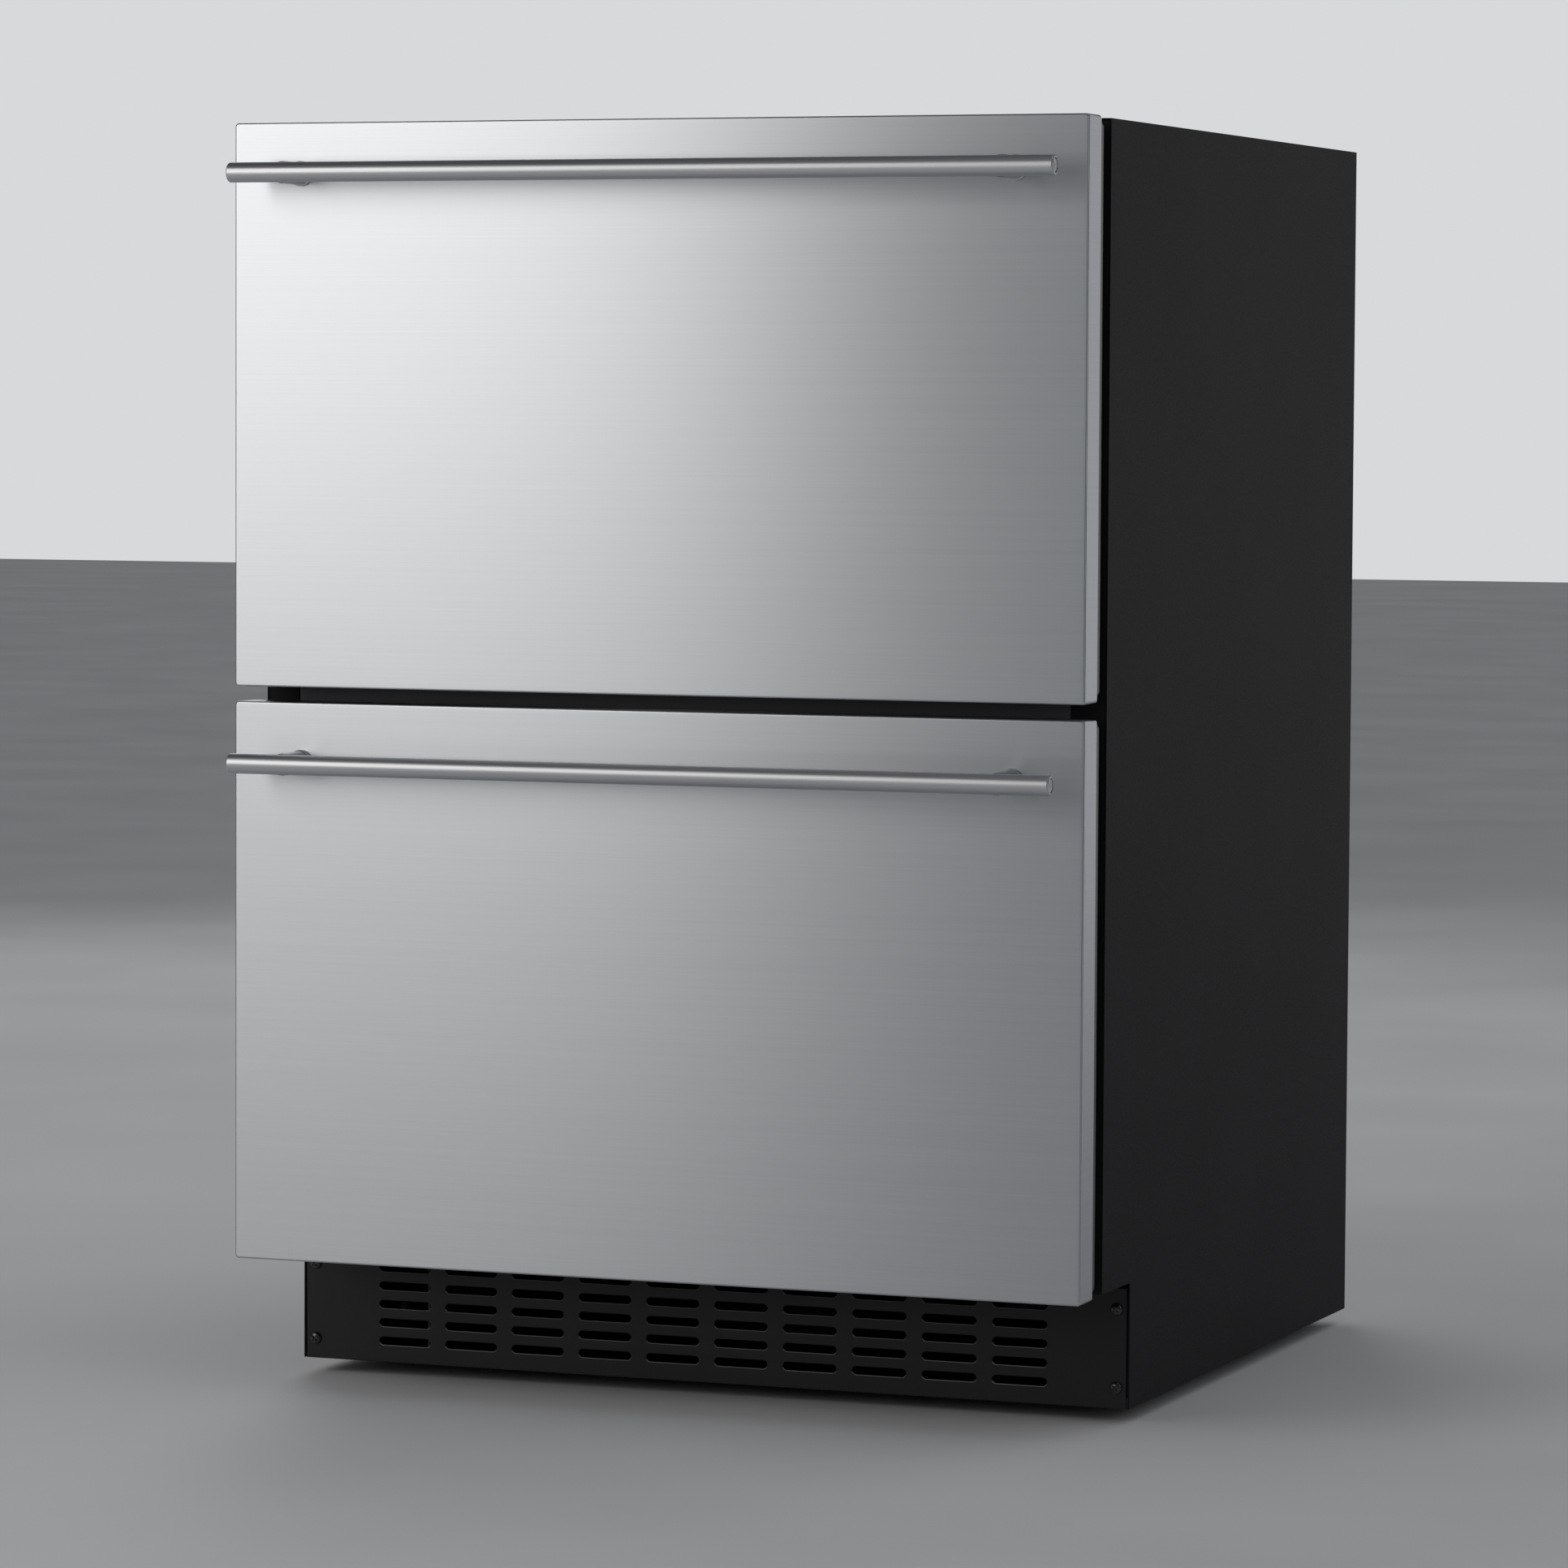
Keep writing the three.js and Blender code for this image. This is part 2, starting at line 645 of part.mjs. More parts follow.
// Fan plate with a ring round the propeller and three arms that carry the motor behind it.
// Built with its axis along Y, centred on the fan.
function condenserShroud() {
  const halfX = (machineDepth - coverInset - caseSheet) / 2 - condenserMargin / 2;
  const halfZ = (machineCeiling - trayTop) / 2 - gap;
  const holeRadius = fanRadius + fanTipGap;
  const ringRadius = holeRadius + shroudSheet;
  const ringBack = shroudRingDepth;
  const motorFront = ringBack - motorArmDepth;
  const plate = box(-halfX, halfX, 0, shroudSheet, -halfZ, halfZ);
  const ring = rod('y', ringRadius, 0, ringBack, [0, 0, 0], 36);
  const hole = rod('y', holeRadius, -1, ringBack + 1, [0, 0, 0], 36);
  const tube = cut(join(plate, ring), hole);
  const arms = [0, 1, 2].map((i) => {
    const arm = box(-motorArmWidth / 2, motorArmWidth / 2, motorFront, ringBack,
      motorRadius * 0.6, holeRadius + shroudSheet / 2);
    return arm.rotateY(2 * Math.PI * i / 3);
  });
  const motor = rod('y', motorRadius, motorFront, motorFront + motorLength, [0, 0, 0], 24);
  return join(tube, ...arms, motor);
}

// ---------------------------------------------------------------- evaporator, thermostat and lamp

const evapCoverZ1 = cavityTop - evapCoverTop;
const evapCoverZ0 = evapCoverZ1 - evapCoverHeight;
const evapFanZ = evapCoverZ1 - evapFanDrop;
const evapHalf = cavityHalf - evapCoverSide;

function evaporatorCover() {
  const outside = middleBox(evapHalf, evapCoverFront, cavityBack - gap, evapCoverZ0, evapCoverZ1);
  const inside = middleBox(evapHalf - evapCoverWall, evapCoverFront + evapCoverWall, cavityBack + 1,
    evapCoverZ0 + evapCoverWall, evapCoverZ1 - evapCoverWall);
  const fanHole = rod('y', evapFanRadius + fanTipGap, evapCoverFront - 1, evapCoverFront + evapCoverWall + 1,
    [0, 0, evapFanZ], 36);
  const columns = countThatFits(2 * evapHalf, evapSlotPitchZ, evapSlotLength, evapSlotPitchX);
  const slots = spread(columns, evapSlotPitchX, 0).flatMap((x) =>
    spread(evapSlotRows, evapSlotPitchZ, evapCoverZ0 + evapSlotRise).map((z) =>
      box(x - evapSlotLength / 2, x + evapSlotLength / 2,
        evapCoverFront - 1, evapCoverFront + evapCoverWall + 1,
        z - evapSlotHeight / 2, z + evapSlotHeight / 2)));
  return cut(outside, inside, fanHole, ...slots);
}

function evaporatorCoil() {
  const width = 2 * (evapHalf - evapCoilSide);
  const block = finBlock(evapCoilDepth, width, evapCoilHeight, evapFins).rotateZ(Math.PI / 2);
  return block.translate(0, cavityBack - gap - evapCoilDepth / 2, evapCoverZ0 + evapCoverWall + gap);
}

function knob() {
  const body = turned('y', [
    [0, 0],
    [knobRadius, 0],
    [knobRadius * 0.92, -knobLength * 0.6],
    [0, -knobLength * 0.6],
  ].reverse(), 28);
  const grip = middleBox(knobGripWidth / 2, -knobLength, -1, -knobRadius * 0.8, knobRadius * 0.8);
  return join(body, grip);
}

// ---------------------------------------------------------------- drawers

function frontSkin() {
  const half = frontWidth / 2;
  const outside = middleBox(half, 0, returnDepth, 0, frontHeight);
  const inside = middleBox(half - skinSheet, skinSheet, returnDepth + 1, skinSheet, frontHeight - skinSheet);
  return cut(outside, inside);
}

function frontFoam() {
  const inSkin = skinSheet + gap;
  const inPanel = panelInset + panelWall + gap;
  const half = frontWidth / 2;
  const front = middleBox(half - inSkin, inSkin, returnDepth, inSkin, frontHeight - inSkin);
  const back = middleBox(half - inPanel, returnDepth - 1, returnDepth + panelDepth - panelWall - gap,
    inPanel, frontHeight - inPanel);
  return join(front, back);
}

// Moulded inner panel: a tray that closes the back of the front and holds the foam.
function innerPanel() {
  const half = frontWidth / 2 - panelInset;
  const outside = middleBox(half, returnDepth + gap, returnDepth + panelDepth,
    panelInset, frontHeight - panelInset);
  const inside = middleBox(half - panelWall, returnDepth, returnDepth + panelDepth - panelWall,
    panelInset + panelWall, frontHeight - panelInset - panelWall);
  return cut(outside, inside);
}

function gasketRing() {
  const front = returnDepth + panelDepth + gap;
  const back = front + gasketDepth;
  const outer = frontWidth / 2 - gasketInset;
  const ring = middleBox(outer, front, back, gasketInset, frontHeight - gasketInset);
  const inner = gasketInset + gasketWidth;
  return cut(ring, middleBox(outer - gasketWidth, front - 1, back + 1, inner, frontHeight - inner));
}

// Round bar with chamfered ends and a shallow plug recess in each.
function handleBar() {
  const radius = barDiameter / 2;
  const half = frontWidth / 2 - barEndInset;
  return turned('x', [
    [0, -half + barPlugDepth],
    [barPlugRadius, -half + barPlugDepth],
    [barPlugRadius + barPlugDraft, -half],
    [radius - barChamfer, -half],
    [radius, -half + barChamfer],
    [radius, half - barChamfer],
    [radius - barChamfer, half],
    [barPlugRadius + barPlugDraft, half],
    [barPlugRadius, half - barPlugDepth],
    [0, half - barPlugDepth],
  ], 32);
}

// Round post from the face of the front to the bar, with its end hollowed to seat the bar.
function handlePost() {
  const post = rod('y', postDiameter / 2, postSeat - barStandoff, -gap, [0, 0, 0], 24);
  const barRoom = rod('x', barDiameter / 2 + gap, -postDiameter, postDiameter, [0, -barStandoff, 0], 48);
  return cut(post, barRoom);
}

function bin(back, floor, top) {
  const outside = middleBox(binHalf, binFront, back, floor, top);
  const inside = middleBox(binHalf - binWall, binFront + binWall, back - binWall, floor + binWall, top + 1);
  return cut(outside, inside);
}

// One runner member: a channel along Y with its web at webX and its lips reaching to lipX.
function channel(webX, lipX, halfHeight, y0, y1, z) {
  const toLip = Math.sign(lipX - webX);
  const webInside = webX + toLip * runnerSheet;
  const sorted = (a, b) => [Math.min(a, b), Math.max(a, b)];
  const whole = box(...sorted(webX, lipX), y0, y1, z - halfHeight, z + halfHeight);
  const hollow = box(...sorted(webInside, lipX + toLip), y0 - 1, y1 + 1,
    z - halfHeight + runnerSheet, z + halfHeight - runnerSheet);
  return cut(whole, hollow);
}

const sides = [['left', -1], ['right', 1]];

function cabinetRunner(side, z) {
  const web = side * (cavityHalf - gap);
  return channel(web, web - side * runnerReach, runnerHeight / 2, runnerFront, runnerBack, z);
}

function midRunner(side, z) {
  const web = side * (cavityHalf - gap - midWebGap);
  return channel(web, web - side * midReach, runnerHeight / 2 - runnerStep, runnerFront, runnerBack, z);
}

function drawerRunner(side, z) {
  const web = side * (binHalf + gap);
  const halfHeight = runnerHeight / 2 - drawerRunnerStep;
  return channel(web, web + side * drawerReach, halfHeight, runnerFront, runnerBack, z);
}

// Everything that rolls out with one drawer, in the drawer's own group.
function buildDrawer(name, bottom, barDrop, binSolid, runnerZ) {
  const drawer = new THREE.Group();
  drawer.position.z = bottom;
  place(drawer, `${name}_front_skin`, frontSkin(), materials.stainless);
  place(drawer, `${name}_front_foam`, frontFoam(), materials.foam);
  place(drawer, `${name}_inner_panel`, innerPanel(), materials.panelPlastic);
  place(drawer, `${name}_gasket`, gasketRing(), materials.gasket);

  const barZ = frontHeight - barDrop;
  place(drawer, `${name}_handle_bar`, handleBar(), materials.barSteel).position.set(0, -barStandoff, barZ);
  const postX = frontWidth / 2 - barEndInset - postInset;
  for (const [word, side] of sides) {
    const post = place(drawer, `${name}_handle_post_${word}`, handlePost(), materials.barSteel);
    post.position.set(side * postX, 0, barZ);
  }

  const hung = new THREE.Group();
  hung.position.z = -bottom;
  place(hung, `${name}_bin`, binSolid, materials.bin);
  for (const [word, side] of sides) {
    place(hung, `${name}_drawer_runner_${word}`, drawerRunner(side, runnerZ), materials.runner);
  }
  drawer.add(hung);
  return drawer;
}

// ---------------------------------------------------------------- assembly

const fridge = new THREE.Group();
fridge.position.y = barProjection - overallDepth / 2;

const cabinet = new THREE.Group();
for (const [word, side] of sides) {
  place(cabinet, `side_panel_${word}`, casePanelSide(side), materials.blackPaint);
}
place(cabinet, 'top_panel',
  middleBox(caseInner, caseFront, caseDepth, caseTop - caseSheet, caseTop), materials.blackPaint);
place(cabinet, 'back_panel',
  middleBox(caseInner, caseDepth - caseSheet, caseDepth, machineCeiling, frameTop), materials.galvanised);
place(cabinet, 'front_frame', frontFrame(), materials.blackPaint);
place(cabinet, 'mullion', mullion(), materials.darkSteel);
place(cabinet, 'cabinet_insulation', cabinetInsulation(), materials.foam);
place(cabinet, 'inner_liner', innerLiner(), materials.linerPlastic);
place(cabinet, 'base_tray', baseTray(), materials.galvanised);
place(cabinet, 'machine_cover', machineCover(), materials.galvanised);
place(cabinet, 'kick_plate', kickPlate(), materials.kickPaint);
kickScrewPlaces().forEach(([x, z], i) => {
  place(cabinet, `kick_screw_${i + 1}`, panScrew(), materials.blackScrew).position.set(x, kickSetback, z);
});
footPlaces().forEach(([x, y], i) => {
  place(cabinet, `levelling_foot_${i + 1}`, levellingFoot(), materials.footPlastic).position.set(x, y, 0);
});
for (const [level, z] of [['upper', upperRunnerZ], ['lower', lowerRunnerZ]]) {
  for (const [word, side] of sides) {
    place(cabinet, `${level}_cabinet_runner_${word}`, cabinetRunner(side, z), materials.runner);
    place(cabinet, `${level}_mid_runner_${word}`, midRunner(side, z), materials.runner);
  }
}

const machinery = new THREE.Group();
const [compressorX, compressorY, compressorZ] = compressorPlace();
place(machinery, 'compressor', compressor(), materials.compressorPaint)
  .position.set(compressorX, compressorY, compressorZ);
place(machinery, 'drip_tray', dripTray(), materials.fanPlastic)
  .position.set(compressorX, compressorY, machineCeiling - compressorHeadroom + gap);
const condenser = place(machinery, 'condenser_coil',
  finBlock(condenserThickness, machineDepth - coverInset - 2 * condenserMargin,
    machineCeiling - trayTop - condenserMargin, condenserFins), materials.aluminium);
condenser.position.set(condenserX, fanY, trayTop + gap);
const shroud = place(machinery, 'condenser_fan_shroud', condenserShroud(), materials.fanPlastic);
shroud.position.set(shroudX, fanY, fanZ);
shroud.rotation.z = -Math.PI / 2;
const condenserFan = place(machinery, 'condenser_fan_blade',
  propeller(fanRadius, fanHubRadius, fanHubDepth), materials.fanPlastic);
condenserFan.position.set(shroudX + shroudSheet + fanHubDepth / 2, fanY, fanZ);
condenserFan.rotation.z = -Math.PI / 2;
place(machinery, 'power_inlet', powerInlet(), materials.fanPlastic);

const cooling = new THREE.Group();
place(cooling, 'evaporator_cover', evaporatorCover(), materials.coverPlastic);
place(cooling, 'evaporator_coil', evaporatorCoil(), materials.aluminium);
place(cooling, 'evaporator_fan_motor',
  rod('y', evapMotorRadius, cavityBack - gap - evapMotorLength, cavityBack - gap, [0, 0, evapFanZ]),
  materials.fanPlastic);
place(cooling, 'evaporator_fan_blade',
  propeller(evapFanRadius, evapHubRadius, evapHubDepth), materials.fanPlastic)
  .position.set(0, cavityBack - 2 * gap - evapMotorLength - evapHubDepth / 2, evapFanZ);
const controlFront = caseFront + thermostatSetback;
const ceiling = cavityTop - gap;
place(cooling, 'thermostat_housing',
  box(thermostatX - thermostatWidth / 2, thermostatX + thermostatWidth / 2, controlFront,
    controlFront + thermostatDepth, ceiling - thermostatHeight, ceiling), materials.coverPlastic);
place(cooling, 'thermostat_knob', knob(), materials.knobPlastic)
  .position.set(thermostatX, controlFront - gap, ceiling - thermostatHeight / 2);
place(cooling, 'interior_lamp',
  box(lampX - lampWidth / 2, lampX + lampWidth / 2, controlFront, controlFront + lampDepth,
    ceiling - lampHeight, ceiling), materials.lamp);

fridge.add(cabinet, machinery, cooling,
  buildDrawer('upper', upperFrontBottom, upperBarDrop,
    bin(upperBinBack, upperBinFloor, upperBinTop), upperRunnerZ),
  buildDrawer('lower', lowerFrontBottom, lowerBarDrop,
    bin(lowerBinBack, lowerBinFloor, lowerBinTop), lowerRunnerZ));

const fridgeAtOrigin = new THREE.Group();
fridgeAtOrigin.add(fridge);

export default fridgeAtOrigin;
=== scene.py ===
"""Looks of the two-drawer under counter fridge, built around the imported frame.

Lengths in this file are millimetres until they go into a mesh; M turns them into metres.
The fridge faces -Y, the floor is z = 0, and +X is on the right seen from the front.
"""

import math

import bmesh
import bpy
from mathutils import Matrix, Vector


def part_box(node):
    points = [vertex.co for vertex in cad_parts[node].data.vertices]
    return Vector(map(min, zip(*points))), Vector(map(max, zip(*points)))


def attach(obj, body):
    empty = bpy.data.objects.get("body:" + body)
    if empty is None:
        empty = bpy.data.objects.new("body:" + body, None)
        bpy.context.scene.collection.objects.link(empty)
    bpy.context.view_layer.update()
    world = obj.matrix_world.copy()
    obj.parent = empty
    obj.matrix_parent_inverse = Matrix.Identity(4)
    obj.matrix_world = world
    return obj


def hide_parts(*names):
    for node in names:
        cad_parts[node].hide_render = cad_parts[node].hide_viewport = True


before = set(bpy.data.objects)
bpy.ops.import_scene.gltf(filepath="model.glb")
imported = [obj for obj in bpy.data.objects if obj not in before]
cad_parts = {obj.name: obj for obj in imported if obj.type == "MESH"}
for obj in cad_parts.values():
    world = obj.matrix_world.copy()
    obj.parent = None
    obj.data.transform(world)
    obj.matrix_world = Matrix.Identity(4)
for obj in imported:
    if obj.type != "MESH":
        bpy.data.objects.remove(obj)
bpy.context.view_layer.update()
M = 0.001

# ---------------------------------------------------------------- sizes of the finish details

SHEET_EDGE = 0.35                 # rounding of a cut sheet edge
BEND_RADIUS = 1.3                 # outside radius of the folded fronts
SEAM_DEPTH = 0.45                 # seam where a front's face meets its folded return
BIN_CORNER = 14                   # corner radius of the bins
BIN_RIM = 2.2                     # rolled rim of a bin
FRONT_CORNER = 2.4                # corner radius of a folded front
RIM_EDGE = 0.55                   # rounding of the punched slots
SCREW_CROSS = 1.1                 # width of a cross recess


# ---------------------------------------------------------------- places read from the frame

def span(node):
    """Lowest and highest corners of a CAD node, in millimetres."""
    low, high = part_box(node)
    return low / M, high / M


def middle(node):
    """Middle of a CAD node, in millimetres."""
    low, high = span(node)
    return (low + high) / 2


# ---------------------------------------------------------------- mesh making

def new_object(name, mesh):
    """A mesh, curve, lamp or camera put into the scene."""
    obj = bpy.data.objects.new(name, mesh)
    bpy.context.scene.collection.objects.link(obj)
    return obj


def from_bmesh(name, bm):
    """An object made from a mesh that was drawn in millimetres."""
    bmesh.ops.scale(bm, vec=(M, M, M), verts=bm.verts)
    bmesh.ops.recalc_face_normals(bm, faces=bm.faces)
    mesh = bpy.data.meshes.new(name)
    bm.to_mesh(mesh)
    bm.free()
    return new_object(name, mesh)


def shade(obj, angle=35):
    """Smooth shading that keeps edges sharper than the angle, and flat faces flat beside their bends."""
    mesh = obj.data
    mesh.shade_smooth()
    mesh.set_sharp_from_angle(angle=math.radians(angle))
    weights = obj.modifiers.new("flat_faces", "WEIGHTED_NORMAL")
    weights.mode = "FACE_AREA"
    weights.keep_sharp = True
    return obj


def join(name, *objects):
    """Several objects made into one."""
    bm = bmesh.new()
    for obj in objects:
        bm.from_mesh(obj.data)
    mesh = bpy.data.meshes.new(name)
    bm.to_mesh(mesh)
    bm.free()
    for obj in objects:
        bpy.data.objects.remove(obj)
    return new_object(name, mesh)


def loft(name, rings, closed=False):
    """Quads between rings that all have the same number of points, with flat ends or closed on itself."""
    bm = bmesh.new()
    rows = [[bm.verts.new(point) for point in ring] for ring in rings]
    pairs = list(zip(rows, rows[1:])) + ([(rows[-1], rows[0])] if closed else [])
    for a, b in pairs:
        for i in range(len(a)):
            j = (i + 1) % len(a)
            bm.faces.new((a[i], a[j], b[j], b[i]))
    if not closed:
        bm.faces.new(rows[0][::-1])
        bm.faces.new(rows[-1])
    return from_bmesh(name, bm)


def rounded_rectangle(half_u, half_v, radius, steps=6):
    """Points of a rectangle with round corners, centred on (0, 0)."""
    radius = max(radius, 0.02)
    points = []
    for quarter in range(4):
        turn = quarter * math.pi / 2
        sign_u, sign_v = ((1, 1), (-1, 1), (-1, -1), (1, -1))[quarter]
        centre = (sign_u * (half_u - radius), sign_v * (half_v - radius))
        for step in range(steps + 1):
            angle = turn + step / steps * math.pi / 2
            points.append((centre[0] + radius * math.cos(angle), centre[1] + radius * math.sin(angle)))
    return points


def pan(name, axis, low, high, rings, steps=6):
    """A stack of rounded rectangles along an axis: each ring is (inset, place along the axis, corner radius).
    Insets are measured from the rectangle between the corners low and high."""
    u, v = [i for i in range(3) if i != axis]
    centre = ((low[u] + high[u]) / 2, (low[v] + high[v]) / 2)
    half = ((high[u] - low[u]) / 2, (high[v] - low[v]) / 2)
    stack = []
    for inset, along, radius in rings:
        ring = []
        for a, b in rounded_rectangle(half[0] - inset, half[1] - inset, radius, steps):
            point = [0, 0, 0]
            point[axis], point[u], point[v] = along, centre[0] + a, centre[1] + b
            ring.append(tuple(point))
        stack.append(ring)
    return loft(name, stack)


def picture_frame(name, low, high, profile):
    """A closed profile of (inset, y) points swept round an upright rectangle, with mitred corners."""
    corners = [
        (high.x, high.z, -1, -1),
        (low.x, high.z, 1, -1),
        (low.x, low.z, 1, 1),
        (high.x, low.z, -1, 1),
    ]
    rings = [[(x + inward_x * inset, y, z + inward_z * inset) for inset, y in profile]
             for x, z, inward_x, inward_z in corners]
    return loft(name, rings, closed=True)


def turned(name, axis, centre, profile, segments=48):
    """A turned piece: the profile holds (radius, place along the axis) pairs."""
    u, v = [i for i in range(3) if i != axis]
    rings = []
    for radius, along in profile:
        ring = []
        for i in range(segments):
            angle = 2 * math.pi * i / segments
            point = [0, 0, 0]
            point[axis] = centre[axis] + along
            point[u] = centre[u] + max(radius, 0.01) * math.cos(angle)
            point[v] = centre[v] + max(radius, 0.01) * math.sin(angle)
            ring.append(tuple(point))
        rings.append(ring)
    return loft(name, rings)


def soft_box(name, low, high, radius, segments=3):
    """A box with rounded edges."""
    bm = bmesh.new()
    bmesh.ops.create_cube(bm, size=1)
    size = [b - a for a, b in zip(low, high)]
    place = [(a + b) / 2 for a, b in zip(low, high)]
    for vert in bm.verts:
        vert.co = Vector([c * s + p for c, s, p in zip(vert.co, size, place)])
    bmesh.ops.bevel(bm, geom=bm.edges[:], offset=radius, segments=segments, affect="EDGES", profile=0.5)
    return from_bmesh(name, bm)


def refined(name, node, radius=SHEET_EDGE, segments=2, sharper_than=25):
    """A CAD piece's own shape with its cut edges rounded."""
    bm = bmesh.new()
    bm.from_mesh(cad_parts[node].data)
    bmesh.ops.scale(bm, vec=(1 / M, 1 / M, 1 / M), verts=bm.verts)
    bmesh.ops.remove_doubles(bm, verts=bm.verts, dist=0.002)
    bmesh.ops.dissolve_limit(bm, angle_limit=math.radians(1), verts=bm.verts, edges=bm.edges)
    edges = [e for e in bm.edges if len(e.link_faces) == 2
             and e.calc_face_angle(0) > math.radians(sharper_than)]
    bmesh.ops.bevel(bm, geom=edges, offset=radius, segments=segments, affect="EDGES", profile=0.5,
                    clamp_overlap=True)
    return from_bmesh(name, bm)


def sheet_with_holes(name, outline, holes, thickness, edge, matrix):
    """A flat sheet with holes. Its outlines are in a plane, and the matrix puts that plane in place."""
    curve = bpy.data.curves.new(name, "CURVE")
    curve.dimensions = "2D"
    curve.fill_mode = "BOTH"
    curve.extrude = thickness / 2 - edge
    curve.bevel_depth = edge
    curve.bevel_resolution = 2
    curve.offset = -edge
    for points in [outline, *holes]:
        spline = curve.splines.new("POLY")
        spline.points.add(len(points) - 1)
        for point, (x, y) in zip(spline.points, points):
            point.co = (x, y, 0, 1)
        spline.use_cyclic_u = True
    obj = new_object(name, curve)
    bpy.context.view_layer.update()
    mesh = bpy.data.meshes.new_from_object(obj.evaluated_get(bpy.context.evaluated_depsgraph_get()))
    bpy.data.objects.remove(obj)
    bm = bmesh.new()
    bm.from_mesh(mesh)
    bmesh.ops.remove_doubles(bm, verts=bm.verts, dist=0.001)
    bmesh.ops.transform(bm, matrix=matrix, verts=bm.verts)
    return from_bmesh(name, bm)


def slot_outline(x, y, length, height):
    """A slot with half-round ends, centred on (x, y)."""
    radius = height / 2
    steps = 8
    points = []
    for side, start in ((1, -math.pi / 2), (-1, math.pi / 2)):
        for step in range(steps + 1):
            angle = start + math.pi * step / steps
            points.append((x + side * (length / 2 - radius) + radius * math.cos(angle),
                           y + radius * math.sin(angle)))
    return points


def tube(name, points, radius, sides=12, smooth=6):
    """A round tube along a smooth line through the points."""
    curve = bpy.data.curves.new(name, "CURVE")
    curve.dimensions = "3D"
    curve.bevel_depth = radius * M
    curve.bevel_resolution = sides // 4
    curve.use_fill_caps = True
    spline = curve.splines.new("NURBS")
    spline.points.add(len(points) - 1)
    for point, place in zip(spline.points, points):
        point.co = (place[0] * M, place[1] * M, place[2] * M, 1)
    spline.use_endpoint_u = True
    spline.order_u = 3
    curve.resolution_u = smooth
    obj = new_object(name, curve)
    bpy.context.view_layer.update()
    mesh = bpy.data.meshes.new_from_object(obj.evaluated_get(bpy.context.evaluated_depsgraph_get()))
    bpy.data.objects.remove(obj)
    return new_object(name, mesh)


def bead(name, start, end, width, height, axis):
    """A pressed stiffening bead: a long half-round pillow on a sheet, standing off along an axis."""
    start, end = Vector(start), Vector(end)
    along = (end - start).normalized()
    up = Vector([1 if i == axis else 0 for i in range(3)])
    across = along.cross(up)
    length = (end - start).length
    arcs = 8
    rings = []
    steps = [0, 0.04, 0.14, 0.3, 0.5]
    places = [width * s for s in steps] + [length - width * s for s in steps[::-1]]
    shares = [math.sqrt(max(0, 1 - (1 - 2 * s) ** 2)) for s in steps]
    for place, share in zip(places, shares + shares[::-1]):
        ring = []
        for i in range(arcs + 1):
            angle = math.pi * i / arcs
            sideways = math.cos(angle) * width / 2 * max(share, 0.02)
            ring.append(start + along * place + across * sideways + up * (math.sin(angle) * height * share))
        rings.append(ring)
    return loft(name, rings)


# ---------------------------------------------------------------- materials

def linear(code):
    """An sRGB hex colour as linear red, green, blue and alpha."""
    values = [int(code[i:i + 2], 16) / 255 for i in (1, 3, 5)]
    return [v / 12.92 if v <= 0.04045 else ((v + 0.055) / 1.055) ** 2.4 for v in values] + [1]


def add_node(tree, kind, inputs=(), **settings):
    """Adds a node with its settings. Its inputs are (input, value or socket) pairs, set or linked."""
    made = tree.nodes.new(kind)
    for name, value in settings.items():
        setattr(made, name, value)
    for key, value in inputs:
        if isinstance(value, bpy.types.NodeSocket):
            tree.links.new(value, made.inputs[key])
        else:
            made.inputs[key].default_value = value
    return made


def start_material(name, **shader):
    """A material with one shader, and its surface coordinates in metres, fixed to the piece."""
    made = bpy.data.materials.new(name)
    made.use_nodes = True
    tree = made.node_tree
    principled = tree.nodes["Principled BSDF"]
    for key, value in shader.items():
        principled.inputs[key.replace("_", " ")].default_value = value
    place = add_node(tree, "ShaderNodeTexCoord").outputs["Object"]
    return made, tree, principled, place


def grain(tree, place, size_mm, detail=2.0):
    """Noise whose features have the given sizes along X, Y and Z."""
    scale = [1 / (s * M) for s in size_mm]
    scaled = add_node(tree, "ShaderNodeMapping", [("Vector", place), ("Scale", scale)])
    noise = add_node(tree, "ShaderNodeTexNoise", [
        ("Vector", scaled.outputs[0]), ("Scale", 1.0), ("Detail", detail), ("Roughness", 0.5)])
    return noise.outputs["Fac"]


def uneven_colour(tree, principled, pattern, dark, light, start=0.3, end=0.7):
    """Lets a pattern move the colour between two hex colours, as it goes from start to end."""
    share = add_node(tree, "ShaderNodeMapRange", [
        ("Value", pattern), ("From Min", start), ("From Max", end), ("To Min", 0), ("To Max", 1)])
    colour = add_node(tree, "ShaderNodeMix", [
        ("Factor", share.outputs[0]), (6, linear(dark)), (7, linear(light))], data_type="RGBA")
    tree.links.new(colour.outputs[2], principled.inputs["Base Color"])


def uneven_roughness(tree, principled, pattern, low, high, start=0.3, end=0.7):
    """Lets a pattern move the roughness between two values, as it goes from start to end."""
    rough = add_node(tree, "ShaderNodeMapRange", [
        ("Value", pattern), ("From Min", start), ("From Max", end), ("To Min", low), ("To Max", high)])
    tree.links.new(rough.outputs[0], principled.inputs["Roughness"])


def fine_relief(tree, principled, pattern, depth_mm, strength):
    """Lets a pattern tilt the surface, as if it stood out by the depth."""
    bump = add_node(tree, "ShaderNodeBump", [
        ("Height", pattern), ("Distance", depth_mm * M), ("Strength", strength)])
    tree.links.new(bump.outputs[0], principled.inputs["Normal"])


